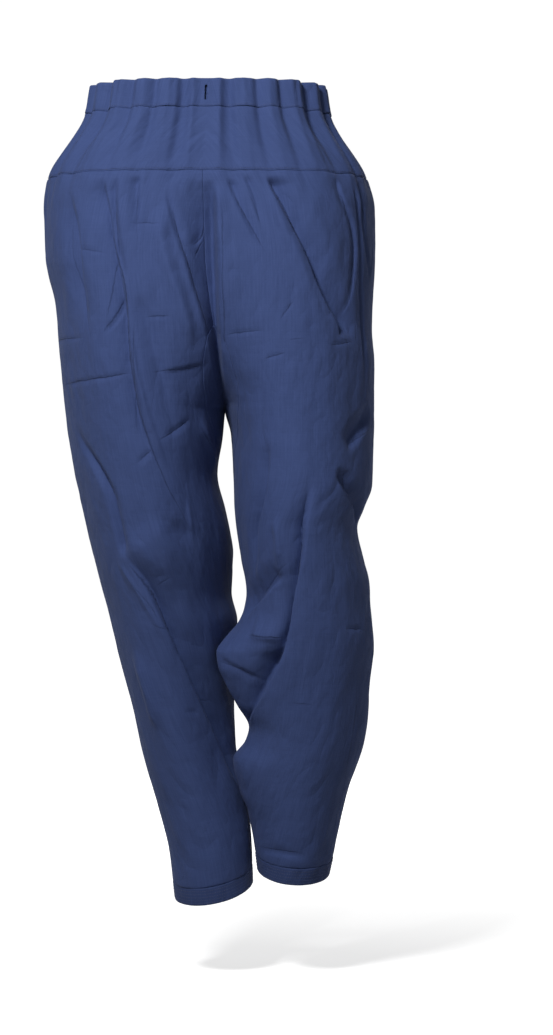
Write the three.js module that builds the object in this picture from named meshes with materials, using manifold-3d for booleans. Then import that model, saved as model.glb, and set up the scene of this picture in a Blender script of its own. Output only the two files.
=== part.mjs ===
import * as THREE from 'three';
import { mergeVertices } from 'three/addons/utils/BufferGeometryUtils.js';
import Module from 'manifold-3d';

// A salwar in plain blue cotton, in the hollow shape it has when worn.
// Millimetres. +Z is up, the front faces -Y, the wearer's left leg is on the +X side.
// The origin is at the middle of the waist, where the casing is tied.

// Cloth
const WALL = 1.6;
const SEAM_GAP = 0.3;
const HALF_GAP = SEAM_GAP / 2;
const SEAM_FADE = 8;

// Waist and yoke
const CASING_HEIGHT = 34;
const CASING_CHANNEL = 2.4;
const CASING_TURNING = 40;
const SLIT_WIDTH = 3.6;
const SLIT_TOP = -9;
const SLIT_BOTTOM = -26;
const YOKE_BOTTOM = -110;
const GATHERS_PER_SIDE = 13;
const GATHER_DEPTH = 4;
const GATHER_END = -165;

// Legs and gusset
const GUSSET_TOP = -290;
const CROTCH = -386;
const GUSSET_TIP = -462;
const HEM_HEIGHT = 21;
const HEM_WALL = 2.4;
const TILT_START = -600;
const FLOOR_FALL = 0.25;
const VALLEY_WALL = 0.02;

// Mesh density
const COLUMNS = { frontPanel: 21, backPanel: 15, yoke: 52, gusset: 3, hem: 22 };
const SPANS = { yoke: 3, thigh: 8, seat: 6, belowCrotch: 4, leg: 20 };
const CURVE_SAMPLES = 24;
const FULLNESS = 0.55;

// The front creases are placed as an eye at this point sees them on the plane y = 0.
const EYE = { x: 82, z: -515, distance: 4000 };

// Rows with named columns, from one line of names and one array a row.
function table(columns, rows) {
  const names = columns.split(' ');
  return rows.map((row) => Object.fromEntries(names.map((name, i) => [name, row[i]])));
}

// Centre seams above the crotch. turn is the angle from straight across to straight forward, in
// degrees, that each leg's cloth leaves the seam at.
const SEAM = table('z x frontY backY turn', [
  [0, 0, -98, 100, 0],
  [-34, -1, -103, 108, 0],
  [-110, -4, -118, 134, 0],
  [-160, -3, -125, 146, 0],
  [-220, -1, -128, 152, 6],
  [-270, 5, -121, 150, 20],
  [-310, 11, -104, 140, 38],
  [-340, 14, -82, 122, 54],
  [-360, 17, -58, 98, 66],
  [-374, 19, -32, 68, 78],
  [-382, 20, -4, 40, 86],
  [CROTCH, 20, 18, 18, 90],
]);

// The valley that the cloth makes between the legs in front. depth is how far back it lies at the
// centre seam, and slope is the width over which the right leg's cloth falls to it. The fall goes on
// across the left leg for the width of floor, and then the cloth comes forward again within edge.
const VALLEY = table('z depth slope floor edge', [
  [-122, 0, 36, 9, 10],
  [-150, 12, 34, 9, 9],
  [-194, 21, 26, 9, 8],
  [-232, 23, 20, 8, 8],
  [-280, 21, 14, 4, 8],
  [-310, 17, 12, 2, 8],
  [-350, 9, 12, 2, 9],
  [-378, 0, 12, 2, 12],
]);

// Leg sections: the side seam, the foremost point and the rearmost point at each height.
const RIGHT_SECTIONS = table('z sideX sideY frontX frontY backX backY', [
  [0, -140, 2, -50, -98, -50, 100],
  [-34, -146, 2, -52, -103, -55, 108],
  [-110, -192, 6, -70, -118, -72, 134],
  [-145, -197, 8, -75, -124, -76, 143],
  [-200, -196, 10, -80, -131, -80, 152],
  [-260, -184, 12, -82, -134, -84, 155],
  [-320, -179, 12, -82, -134, -84, 151],
  [-376, -173, 12, -78, -131, -80, 144],
  [-448, -163, 12, -72, -124, -76, 132],
  [-505, -151, 14, -66, -118, -66, 124],
  [-563, -137, 14, -62, -110, -54, 115],
  [-620, -122, 14, -58, -98, -46, 107],
  [-678, -107, 14, -50, -86, -38, 100],
  [-736, -91, 14, -40, -76, -30, 94],
  [-793, -77, 12, -26, -66, -22, 86],
  [-851, -60, 10, -10, -58, -8, 77],
  [-908, -46, 8, 2, -54, 4, 68],
  [-962, -40, 5, 7, -52, 8, 62],
]);
const LEFT_SECTIONS = table('z sideX sideY frontX frontY backX backY', [
  [0, 140, 2, 50, -98, 50, 100],
  [-34, 146, 2, 52, -103, 55, 108],
  [-110, 190, 4, 70, -118, 72, 134],
  [-145, 199, 4, 78, -125, 78, 143],
  [-203, 200, 4, 84, -133, 84, 152],
  [-246, 198, 2, 88, -136, 88, 154],
  [-289, 197, 0, 92, -138, 90, 152],
  [-332, 200, -4, 96, -139, 94, 148],
  [-376, 199, -8, 100, -140, 98, 140],
  [-433, 198, -12, 106, -142, 104, 124],
  [-476, 196, -18, 110, -144, 108, 110],
  [-505, 186, -24, 112, -144, 110, 100],
  [-527, 178, -28, 114, -143, 111, 92],
  [-563, 185, -30, 115, -139, 112, 82],
  [-592, 192, -30, 116, -134, 112, 76],
  [-620, 194, -28, 116, -130, 112, 70],
  [-664, 198, -26, 116, -122, 112, 62],
  [-707, 194, -22, 114, -113, 112, 57],
  [-750, 191, -18, 113, -104, 112, 54],
  [-779, 186, -16, 112, -98, 112, 52],
  [-836, 167, -10, 108, -85, 108, 50],
  [-894, 154, -6, 106, -72, 106, 49],
  [-940, 145, -4, 103, -62, 104, 48],
]);

// Inseams below the crotch. full and fullBack are how rounded the leg is beside the inseam.
const RIGHT_INSEAM = table('z x y full fullBack', [
  [CROTCH, 20, 18, 0.55, 0.55],
  [-419, 17, 18, 0.55, 0.55],
  [-462, 11, 20, 0.55, 0.55],
  [-505, 20, 22, 0.5, 0.55],
  [-534, 26, 22, 0.45, 0.55],
  [-563, 29, 24, 0.36, 0.55],
  [-605, 28, 27, 0.24, 0.55],
  [-640, 35, 29, 0.2, 0.55],
  [-678, 33, 30, 0.18, 0.55],
  [-736, 31, 28, 0.2, 0.55],
  [-793, 33, 24, 0.25, 0.55],
  [-851, 45, 18, 0.4, 0.55],
  [-908, 52, 10, 0.52, 0.55],
  [-962, 54, 5, 0.55, 0.55],
]);
const LEFT_INSEAM = table('z x y full fullBack', [
  [CROTCH, 20, 18, 0.55, 0.55],
  [-419, 28, 12, 0.55, 0.55],
  [-462, 30, 0, 0.55, 0.5],
  [-505, 32, -8, 0.5, 0.45],
  [-563, 40, -16, 0.45, 0.4],
  [-605, 46, -22, 0.35, 0.3],
  [-624, 43, -29, 0.3, 0.27],
  [-640, 36, -37, 0.27, 0.24],
  [-658, 21, -47, 0.24, 0.2],
  [-674, 10.5, -53, 0.24, 0.2],
  [-690, 12.5, -55, 0.24, 0.2],
  [-706, 19, -53, 0.26, 0.21],
  [-738, 36, -44, 0.32, 0.26],
  [-764, 49, -33, 0.38, 0.32],
  [-780, 45, -27, 0.4, 0.35],
  [-804, 30, -22, 0.45, 0.4],
  [-842, 38, -14, 0.5, 0.5],
  [-865, 47, -10, 0.55, 0.55],
  [-902, 54, -6, 0.55, 0.55],
  [-940, 59, -4, 0.55, 0.55],
]);

// Creases. depth is how far the cloth stands out, or in where it is below zero. inside and outside
// are the widths on the path's two sides. Inside is towards the inseam for a path that runs down the
// front, above one that runs level to the middle, and below one that runs level to the side seam.
// crisp is 0 for a soft fold and 1 for a sharp one, and start and end are the shares of the path
// over which it fades in and out. A front path is as the eye sees it.
const CREASE_COLUMNS = 'on depth inside outside crisp start end path';
const RIGHT_CREASES = table(CREASE_COLUMNS, [
  ['front', -8, 14, 30, 0.4, 0.2, 0.35, [[-166, -118], [-158, -190], [-154, -236], [-142, -300]]],
  ['front', -10, 12, 34, 0.6, 0.1, 0.3,
    [[-128, -104], [-121, -150], [-109, -218], [-98, -284], [-92, -343], [-77, -413],
      [-50, -470]]],
  ['front', -6, 12, 12, 0.5, 0.15, 0.4, [[-110, -104], [-113, -150], [-105, -204], [-99, -240]]],
  ['front', -3, 7, 10, 0.6, 0.3, 0.3, [[-100, -250], [-108, -272], [-127, -300]]],
  ['front', -5, 16, 18, 0.3, 0.3, 0.4, [[-84, -242], [-74, -281], [-58, -337], [-43, -398]]],
  ['front', 6, 14, 14, 0.2, 0.2, 0.3, [[-60, -140], [-34, -254], [-19, -314]]],
  ['front', -6, 14, 14, 0.4, 0.15, 0.3,
    [[-50, -118], [-40, -160], [-25, -206], [-15, -239], [-4, -278]]],
  ['front', -3, 8, 10, 0.5, 0.3, 0.4, [[-4, -168], [-12, -180], [-20, -190]]],
  ['front', -4, 8, 26, 0.5, 0.4, 0.4, [[-62, -342], [-40, -340], [-20, -336], [2, -330]]],
  ['front', 4, 22, 16, 0.5, 0.3, 0.3, [[-12, -392], [2, -430], [9, -466]]],
  ['front', -9, 18, 14, 0.5, 0.3, 0.15,
    [[-162, -402], [-138, -451], [-119, -487], [-108, -533], [-102, -565]]],
  ['front', 5, 24, 56, 0.1, 0.3, 0.4, [[-100, -562], [-76, -550], [-56, -534], [-44, -524]]],
  ['front', -5, 12, 30, 0.3, 0.3, 0.4, [[-52, -536], [-36, -528], [-24, -536], [-14, -566]]],
  ['front', -16, 54, 18, 0.3, 0.25, 0.4,
    [[-102, -556], [-78, -593], [-46, -648], [-26, -690], [10, -772], [32, -826], [48, -854]]],
  ['front', 3, 8, 8, 0.5, 0.3, 0.3, [[-25, -490], [-16, -556]]],
  ['front', -3, 8, 8, 0.6, 0.3, 0.3, [[-56, -421], [-20, -395]]],
  ['front', 6, 18, 14, 0.3, 0.3, 0.3, [[-88, -668], [-71, -724], [-56, -776]]],
  ['back', -6, 12, 12, 0.4, 0.1, 0.6, [[-160, -104], [-162, -230]]],
  ['back', -7, 14, 10, 0.5, 0.1, 0.6, [[-128, -104], [-134, -290]]],
  ['back', -6, 10, 14, 0.5, 0.1, 0.6, [[-97, -104], [-102, -220]]],
  ['back', -7, 14, 12, 0.4, 0.1, 0.6, [[-66, -104], [-74, -320]]],
  ['back', -5, 10, 12, 0.5, 0.1, 0.6, [[-36, -104], [-42, -210]]],
  ['back', -9, 24, 20, 0.3, 0.4, 0.4, [[-20, -330], [-62, -372], [-118, -402]]],
  ['back', -7, 14, 20, 0.4, 0.4, 0.4, [[0, -440], [-44, -480], [-96, -502]]],
  ['back', -9, 12, 22, 0.5, 0.3, 0.4, [[8, -520], [-36, -560], [-92, -578]]],
  ['back', -8, 20, 12, 0.5, 0.3, 0.4, [[-112, -606], [-62, -640], [4, -668]]],
  ['back', -6, 16, 16, 0.3, 0.3, 0.4, [[-70, -640], [-42, -740], [-22, -850]]],
  ['side', -7, 14, 18, 0.4, 0.2, 0.5, [[22, -112], [14, -200], [4, -300]]],
  ['side', -6, 16, 16, 0.3, 0.3, 0.4, [[-24, -330], [-6, -430], [14, -500]]],
]);
const LEFT_CREASES = table(CREASE_COLUMNS, [
  ['front', 6, 12, 40, 0.3, 0.2, 0.4, [[7, -110], [13, -157], [18, -235], [22, -281]]],
  ['front', -5, 8, 14, 0.6, 0.15, 0.4, [[24, -106], [34, -130], [50, -164], [72, -204]]],
  ['front', -11, 12, 36, 0.6, 0.1, 0.2,
    [[72, -104], [84, -128], [109, -174], [138, -241], [158, -279], [160, -300]]],
  ['front', -4, 12, 10, 0.6, 0.1, 0.3,
    [[154, -104], [160, -130], [172, -160], [176, -190], [172, -241], [160, -285]]],
  ['front', -5, 8, 9, 0.5, 0.1, 0.4, [[177, -108], [188, -178], [194, -239]]],
  ['front', -5, 8, 10, 0.5, 0.1, 0.4, [[170, -108], [183, -218], [186, -302], [188, -362]]],
  ['front', -8, 24, 16, 0.3, 0.2, 0.3, [[195, -390], [180, -412], [166, -436]]],
  ['front', -10, 12, 20, 0.6, 0.45, 0.15, [[158, -452], [164, -474], [178, -522]]],
  ['front', -14, 60, 14, 0.2, 0.4, 0.3, [[88, -664], [68, -706], [48, -756]]],
  ['front', -7, 20, 14, 0.4, 0.25, 0.35,
    [[74, -421], [67, -457], [60, -505], [56, -554], [56, -600]]],
  ['front', 5, 12, 12, 0.4, 0.3, 0.3, [[83, -509], [84, -542], [85, -575]]],
  ['front', -7, 28, 14, 0.4, 0.2, 0.3, [[90, -583], [66, -604], [40, -635]]],
  ['front', 4, 10, 26, 0.4, 0.35, 0.35, [[46, -656], [66, -659], [90, -661]]],
  ['front', -14, 30, 10, 0.7, 0.15, 0.35,
    [[121, -462], [113, -534], [104, -590], [97, -625], [86, -679], [64, -727], [47, -772],
      [29, -810]]],
  ['front', -4, 8, 8, 0.5, 0.3, 0.3, [[97, -607], [94, -640], [84, -672]]],
  ['front', -2.5, 8, 12, 0.4, 0.4, 0.4, [[60, -912], [92, -918], [122, -924]]],
  ['back', -6, 12, 12, 0.4, 0.1, 0.6, [[162, -104], [164, -240]]],
  ['back', -7, 10, 14, 0.5, 0.1, 0.6, [[132, -104], [138, -270]]],
  ['back', -6, 14, 10, 0.5, 0.1, 0.6, [[100, -104], [104, -230]]],
  ['back', -7, 12, 14, 0.4, 0.1, 0.6, [[68, -104], [78, -330]]],
  ['back', -5, 12, 10, 0.5, 0.1, 0.6, [[34, -104], [40, -200]]],
  ['back', -9, 20, 24, 0.3, 0.4, 0.4, [[34, -336], [78, -376], [140, -398]]],
  ['back', -8, 20, 14, 0.4, 0.4, 0.4, [[52, -450], [100, -474], [158, -480]]],
  ['back', -9, 22, 12, 0.5, 0.3, 0.4, [[60, -540], [110, -556], [160, -552]]],
  ['back', -7, 12, 20, 0.5, 0.3, 0.4, [[172, -592], [128, -620], [70, -640]]],
  ['back', -6, 16, 16, 0.3, 0.3, 0.4, [[148, -640], [132, -740], [122, -850]]],
  ['side', -7, 14, 18, 0.4, 0.2, 0.5, [[-20, -112], [-16, -220], [-2, -320]]],
  ['side', -6, 14, 14, 0.3, 0.3, 0.4, [[-40, -560], [-10, -640], [10, -740]]],
]);

const smooth = (share) => {
  const s = THREE.MathUtils.clamp(share, 0, 1);
  return s * s * (3 - 2 * s);
};

// A smooth curve of one column over the height, with no overshoot between the rows.
function columnCurve(rows, column) {
  const heights = rows.map((row) => row.z);
  const values = rows.map((row) => row[column]);
  const steps = heights.slice(1).map((z, i) => z - heights[i]);
  const rises = values.slice(1).map((value, i) => (value - values[i]) / steps[i]);
  const slopes = heights.map((z, i) => {
    if (i === 0) return rises[0];
    if (i === rises.length) return rises[i - 1];
    if (rises[i - 1] * rises[i] <= 0) return 0;
    const before = 2 * steps[i] + steps[i - 1];
    const after = steps[i] + 2 * steps[i - 1];
    return (before + after) / (before / rises[i - 1] + after / rises[i]);
  });
  return (z) => {
    let i = 0;
    while (i < steps.length - 1 && z < heights[i + 1]) i += 1;
    const t = THREE.MathUtils.clamp((z - heights[i]) / steps[i], 0, 1);
    const u = 1 - t;
    return values[i] * (1 + 2 * t) * u * u + values[i + 1] * t * t * (3 - 2 * t)
      + steps[i] * (slopes[i] * t * u * u - slopes[i + 1] * t * t * u);
  };
}

function curves(rows) {
  const columns = Object.keys(rows[0]).filter((name) => name !== 'z');
  return Object.fromEntries(columns.map((name) => [name, columnCurve(rows, name)]));
}

const seam = curves(SEAM);
const valley = curves(VALLEY);

// One leg's outer surface. A place on it is a height z and a share g round the ring: 0 at the
// centre seam or inseam in front, 1 at the side seam, and 2 at the centre seam or inseam behind.
class Leg {
  constructor({ side, sections, inseam, creases, hem, tilt }) {
    this.side = side;
    this.hem = hem;
    this.tilt = tilt;
    this.section = curves(sections);
    this.inseam = curves(inseam);
    this.rings = new Map();
    this.creases = creases.map((crease) => this.placeCrease(crease));
  }

  // Four curves round the leg: seam to foremost, to side, to rearmost, to seam.
  quarters(z) {
    const at = (name) => this.section[name](z);
    const front = new THREE.Vector2(at('frontX'), at('frontY'));
    const side = new THREE.Vector2(at('sideX'), at('sideY'));
    const back = new THREE.Vector2(at('backX'), at('backY'));
    const above = z > CROTCH;
    const turn = above ? THREE.MathUtils.degToRad(seam.turn(z)) : Math.PI / 2;
    const innerFront = new THREE.Vector2();
    const innerBack = new THREE.Vector2();
    if (above) {
      innerFront.set(seam.x(z), seam.frontY(z));
      innerBack.set(seam.x(z), seam.backY(z));
    } else {
      innerFront.set(this.inseam.x(z), this.inseam.y(z));
      innerBack.copy(innerFront);
    }
    const full = above ? FULLNESS : this.inseam.full(z);
    const fullBack = above ? FULLNESS : this.inseam.fullBack(z);
    const shrink = (outer, inner) => {
      if (!above) return 1;
      const depth = Math.abs(outer.y - inner.y) / Math.abs(outer.y - seam.frontY(CROTCH));
      return THREE.MathUtils.lerp(1, Math.sqrt(depth), Math.sin(turn) ** 2);
    };
    const leave = (inner, outer, ahead, fullness) => {
      const across = Math.cos(turn) * Math.abs(outer.x - inner.x);
      const along = Math.sin(turn) * Math.abs(outer.y - inner.y);
      const reach = fullness * (across + along) * Math.sqrt(shrink(outer, inner));
      return new THREE.Vector2(this.side * Math.cos(turn), ahead * Math.sin(turn))
        .multiplyScalar(reach)
        .add(inner);
    };
    const beside = (point, other, toward, share = 1) => new THREE.Vector2(
      point.x + toward * this.side * share * FULLNESS * Math.abs(other.x - point.x), point.y);
    const along = (point, other) => new THREE.Vector2(
      point.x, point.y + FULLNESS * (other.y - point.y));
    const frontShare = shrink(front, innerFront);
    const backShare = shrink(back, innerBack);
    return [
      [innerFront, leave(innerFront, front, -1, full), beside(front, innerFront, -1, frontShare),
        front],
      [front, beside(front, side, 1), along(side, front), side],
      [side, along(side, back), beside(back, side, 1), back],
      [back, beside(back, innerBack, -1, backShare), leave(innerBack, back, 1, fullBack),
        innerBack],
    ].map((points) => new THREE.CubicBezierCurve(...points));
  }

  // The ring at a height, with the lengths along its front half and its back half.
  ring(z) {
    if (this.rings.has(z)) return this.rings.get(z);
    const bends = this.quarters(z);
    const halves = [bends.slice(0, 2), bends.slice(2)].map((half) => {
      const lengths = [0];
      let last = half[0].getPoint(0);
      for (let i = 1; i <= 2 * CURVE_SAMPLES; i += 1) {
        const u = i / CURVE_SAMPLES;
        const next = half[u <= 1 ? 0 : 1].getPoint(u <= 1 ? u : u - 1);
        lengths.push(lengths[i - 1] + next.distanceTo(last));
        last = next;
      }
      return { bends: half, lengths, length: lengths[2 * CURVE_SAMPLES] };
    });
    this.rings.set(z, halves);
    return halves;
  }

  flatPoint(z, g) {
    const half = this.ring(z)[g <= 1 ? 0 : 1];
    const wanted = (g <= 1 ? g : g - 1) * half.length;
    let i = 0;
    while (i < 2 * CURVE_SAMPLES - 1 && half.lengths[i + 1] < wanted) i += 1;
    const span = half.lengths[i + 1] - half.lengths[i];
    const u = (i + (wanted - half.lengths[i]) / span) / CURVE_SAMPLES;
    const bend = Math.min(1, Math.floor(u));
    return half.bends[bend].getPoint(THREE.MathUtils.clamp(u - bend, 0, 1));
  }

  // The legs' ends slant, so that each level tilts more towards the hem.
  basePoint(z, g) {
    const flat = this.flatPoint(z, g);
    const share = smooth((TILT_START - z) / (TILT_START - this.hem));
    const { slopeX, slopeY, x, y } = this.tilt;
    const rise = share * (slopeX * (flat.x - x) + slopeY * (flat.y - y));
    return new THREE.Vector3(flat.x, flat.y, z + rise);
  }

  // The outward direction of the smooth surface, square to a centre seam beside it.
  normal(z, g) {
    const step = 0.004;
    const from = Math.max(0, g - step);
    const to = Math.min(2, g + step);
    const round = this.basePoint(z, to).sub(this.basePoint(z, from));
    const up = this.basePoint(z + 2, g).sub(this.basePoint(z - 2, g));
    const out = round.cross(up).multiplyScalar(this.side);
    if (z >= GUSSET_TOP && this.toSeam(z, g) < 1) out.x = 0;
    return out.normalize();
  }

  toSeam(z, g) {
    const [front, back] = this.ring(z);
    return g <= 1 ? g * front.length : (2 - g) * back.length;
  }

  // Distance round the leg from the side seam, positive in front.
  fromSide(z, g) {
    const [front, back] = this.ring(z);
    return g <= 1 ? (1 - g) * front.length : (1 - g) * back.length;
  }

  // The share round the ring where its x is the one wanted.
  shareAtX(z, wantedX, onFront) {
    let low = onFront ? 0 : 2;
    let high = 1;
    for (let i = 0; i < 24; i += 1) {
      const middle = (low + high) / 2;
      const short = this.side * (this.flatPoint(z, middle).x - wantedX) < 0;
      if (short) low = middle;
      else high = middle;
    }
    return (low + high) / 2;
  }

  // How far back the cloth lies in the valley between the legs.
  valleyDepth(z, g) {
    if (g > 1) return 0;
    const depth = valley.depth(z);
    const toSeam = this.toSeam(z, g);
    if (this.side < 0) {
      const t = THREE.MathUtils.clamp(toSeam / valley.slope(z), 0, 1);
      return depth * (1 - 0.8 * t - 0.2 * smooth(t));
    }
    const floor = valley.floor(z);
    const rise = smooth((toSeam - floor) / valley.edge(z));
    return depth * (1 + FLOOR_FALL * Math.min(toSeam / floor, 1)) * (1 - rise);
  }

  // The step from the outer face of the cloth to its inner one. It is longer in the valley, whose
  // sides are steep.
  inward(z, g) {
    return this.normal(z, g).multiplyScalar(-WALL * (1 + VALLEY_WALL * this.valleyDepth(z, g)));
  }

  // The chart place, as a distance from the side seam and a height, of a crease's point.
  placePoint(on, [x, z]) {
    if (on === 'side') return new THREE.Vector2(x, z);
    if (on === 'back') return new THREE.Vector2(this.fromSide(z, this.shareAtX(z, x, false)), z);
    let height = z;
    let g = 0.5;
    let near = 1;
    for (let i = 0; i < 4; i += 1) {
      near = 1 + this.flatPoint(height, g).y / EYE.distance;
      height = EYE.z + (z - EYE.z) * near;
      g = this.shareAtX(height, EYE.x + (x - EYE.x) * near, true);
    }
    height -= this.basePoint(height, g).z - height;
    return new THREE.Vector2(this.fromSide(height, g), height);
  }

  placeCrease(crease) {
    const corners = crease.path.map((point) => this.placePoint(crease.on, point));
    const line = new THREE.SplineCurve(corners);
    const count = 6 * (corners.length - 1);
    return { ...crease, line: line.getPoints(count) };
  }

  // How far the creases move the cloth out at a place.
  creaseLift(z, g) {
    const here = new THREE.Vector2(this.fromSide(z, g), z);
    let lift = 0;
    for (const crease of this.creases) lift += creaseHeight(crease, here);
    return lift * smooth(this.toSeam(z, g) / SEAM_FADE);
  }

  // How far the waist's gathers move the cloth out at a place.
  gatherLift(z, g) {
    const spacing = GATHERS_PER_SIDE * Math.PI * g;
    const uneven = 0.8 * Math.sin(2 * Math.PI * g) + 0.5 * Math.sin(5 * Math.PI * g);
    const strength = 1 + 0.22 * Math.cos(3 * Math.PI * g) + 0.12 * Math.cos(7 * Math.PI * g);
    const fade = smooth((z - GATHER_END) / (-CASING_HEIGHT - GATHER_END));
    const beside = g < 1 ? smooth((this.toSeam(z, g) - 5) / 16) : 1;
    return -GATHER_DEPTH * strength * fade * beside * Math.cos(spacing + uneven);
  }

  lift(z, g) {
    return this.creaseLift(z, g) + this.gatherLift(z, g);
  }

  point(z, g) {
    const point = this.basePoint(z, g).addScaledVector(this.normal(z, g), this.lift(z, g));
    point.y += this.valleyDepth(z, g);
    return point;
  }

  // The share at which the gusset's edge crosses a level, in front or behind.
  gussetShare(z, onFront) {
    if (z >= GUSSET_TOP || z <= GUSSET_TIP) return onFront ? 0 : 2;
    const topY = onFront ? seam.frontY(GUSSET_TOP) : seam.backY(GUSSET_TOP);
    const down = (GUSSET_TOP - z) / (GUSSET_TOP - GUSSET_TIP);
    const wantedY = topY + (this.inseam.y(GUSSET_TIP) - topY) * down * down;
    let low = onFront ? 0 : 2;
    let high = onFront ? 0.5 : 1.5;
    for (let i = 0; i < 24; i += 1) {
      const middle = (low + high) / 2;
      const y = this.flatPoint(z, middle).y;
      if (onFront ? y > wantedY : y < wantedY) low = middle;
      else high = middle;
    }
    return (low + high) / 2;
  }
}

function creaseHeight(crease, here) {
  const { line } = crease;
  const reach = Math.max(crease.inside, crease.outside);
  let best = Infinity;
  let cross = 0;
  let along = 0;
  for (let i = 0; i < line.length - 1; i += 1) {
    const way = line[i + 1].clone().sub(line[i]);
    const off = here.clone().sub(line[i]);
    const t = THREE.MathUtils.clamp(off.dot(way) / way.lengthSq(), 0, 1);
    const distance = off.distanceTo(way.clone().multiplyScalar(t));
    if (distance >= best || distance > reach) continue;
    best = distance;
    cross = way.cross(off);
    along = (i + t) / (line.length - 1);
  }
  const width = cross > 0 ? crease.inside : crease.outside;
  if (best >= width) return 0;
  const t = best / width;
  const profile = (1 - crease.crisp) * (1 - smooth(t)) + crease.crisp * (1 - t) * (1 - t);
  return crease.depth * profile * smooth(along / crease.start) * smooth((1 - along) / crease.end);
}

const RIGHT = new Leg({
  side: -1,
  sections: RIGHT_SECTIONS,
  inseam: RIGHT_INSEAM,
  creases: RIGHT_CREASES,
  hem: -962,
  tilt: { slopeX: 0.187, slopeY: 0.2, x: 6, y: 5 },
});
const LEFT = new Leg({
  side: 1,
  sections: LEFT_SECTIONS,
  inseam: LEFT_INSEAM,
  creases: LEFT_CREASES,
  hem: -940,
  tilt: { slopeX: -0.057, slopeY: 0.18, x: 102, y: -8 },
});

const spread = (from, to, spans) => Array.from(
  { length: spans + 1 }, (unused, i) => from + (to - from) * i / spans);

// Heights down the seat, closer together towards the crotch.
const SEAT_LEVELS = spread(0, 1, SPANS.seat)
  .map((share) => GUSSET_TOP + (CROTCH - GUSSET_TOP) * Math.sin(share * Math.PI / 2));
const GUSSET_LEVELS = [...SEAT_LEVELS, ...spread(CROTCH, GUSSET_TIP, SPANS.belowCrotch).slice(1)];

function indexedGeometry(points, triangles) {
  const geometry = new THREE.BufferGeometry();
  const values = points.flatMap((point) => point.toArray());
  geometry.setAttribute('position', new THREE.Float32BufferAttribute(values, 3));
  geometry.setIndex(triangles.flat());
  return geometry;
}

// Faces turned to point out, whichever way round the grid was made.
function facingOut(points, triangles) {
  let volume = 0;
  for (const [a, b, c] of triangles) volume += points[a].dot(points[b].clone().cross(points[c]));
  const turned = volume < 0 ? triangles.map(([a, b, c]) => [a, c, b]) : triangles;
  return indexedGeometry(points, turned);
}

// A wall of cloth: the outer sheet, the same sheet moved in, and a border between them.
function thicken(points, triangles, inward) {
  const count = points.length;
  const inner = points.map((point, i) => point.clone().add(inward[i]));
  const edges = new Set(triangles.flatMap(([a, b, c]) => [`${a} ${b}`, `${b} ${c}`, `${c} ${a}`]));
  const closed = [...triangles, ...triangles.map(([a, b, c]) => [a + count, c + count, b + count])];
  for (const edge of edges) {
    const [a, b] = edge.split(' ').map(Number);
    if (edges.has(`${b} ${a}`)) continue;
    closed.push([b, a, a + count], [b, a + count, b + count]);
  }
  return facingOut([...points, ...inner], closed);
}

// Triangles of a grid of rows and columns. Each cell is split along the diagonal whose two ends
// are the more alike by measure, such as their lift, so that the split runs along a crease.
function gridTriangles(rows, columns, measure, wrap = false) {
  const triangles = [];
  const at = (row, column) => (row % rows) * columns + (column % columns);
  for (let row = 0; row < rows - (wrap ? 0 : 1); row += 1) {
    for (let column = 0; column < columns - (wrap ? 0 : 1); column += 1) {
      const a = at(row, column);
      const b = at(row, column + 1);
      const c = at(row + 1, column + 1);
      const d = at(row + 1, column);
      const alongAC = measure(a, c) <= measure(b, d);
      if (alongAC) triangles.push([a, b, c], [a, c, d]);
      else triangles.push([a, b, d], [b, c, d]);
    }
  }
  return triangles;
}

// A wall from a grid of places, each one a leg, a height and a share.
function clothWall(grid) {
  const places = grid.flat();
  const points = places.map(({ leg, z, g }) => leg.point(z, g));
  const inward = places.map(({ leg, z, g }) => leg.inward(z, g));
  const lifts = places.map(({ leg, z, g }) => leg.lift(z, g));
  const apart = (a, b) => Math.abs(lifts[a] - lifts[b]);
  return thicken(points, gridTriangles(grid.length, grid[0].length, apart), inward);
}

// One front or back of a leg, from the yoke to the hem band, cut away for the gusset.
function panel(leg, onFront) {
  const columns = onFront ? COLUMNS.frontPanel : COLUMNS.backPanel;
  const levels = [
    ...spread(YOKE_BOTTOM - SEAM_GAP, GUSSET_TOP, SPANS.thigh).slice(0, -1),
    ...GUSSET_LEVELS,
    ...spread(GUSSET_TIP, leg.hem + HEM_HEIGHT + SEAM_GAP, SPANS.leg).slice(1),
  ];
  const half = onFront ? 0 : 1;
  const toSide = onFront ? 1 : -1;
  return clothWall(levels.map((z) => {
    const { length } = leg.ring(z)[half];
    const besideGusset = z < GUSSET_TOP && z > GUSSET_TIP;
    const gap = (besideGusset ? SEAM_GAP : HALF_GAP) / length;
    const from = leg.gussetShare(z, onFront) + toSide * gap;
    const to = 1 - toSide * HALF_GAP / length;
    return spread(from, to, columns).map((g) => ({ leg, z, g }));
  }));
}

// The band that goes round the seat above the legs, in one piece from side seam to side seam.
function yoke(onFront) {
  const levels = spread(-CASING_HEIGHT - SEAM_GAP, YOKE_BOTTOM, SPANS.yoke);
  const centre = onFront ? 0 : 2;
  const toSide = onFront ? 1 : -1;
  return clothWall(levels.map((z) => {
    const shares = (leg) => {
      const { length } = leg.ring(z)[onFront ? 0 : 1];
      return spread(centre, 1 - toSide * HALF_GAP / length, COLUMNS.yoke / 2)
        .map((g) => ({ leg, z, g }));
    };
    return [...shares(RIGHT).reverse(), ...shares(LEFT).slice(1)];
  }));
}

// A band that closes on itself: the same loop of points carried round a ring of places.
function band(places, section) {
  const points = places.flatMap((place) => section.map(({ inward, z }) => {
    const out = place.leg.normal(z, place.g);
    return place.leg.point(z, place.g).addScaledVector(out, -inward);
  }));
  const apart = (a, b) => points[a].distanceTo(points[b]);
  return facingOut(points, gridTriangles(places.length, section.length, apart, true));
}

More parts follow.
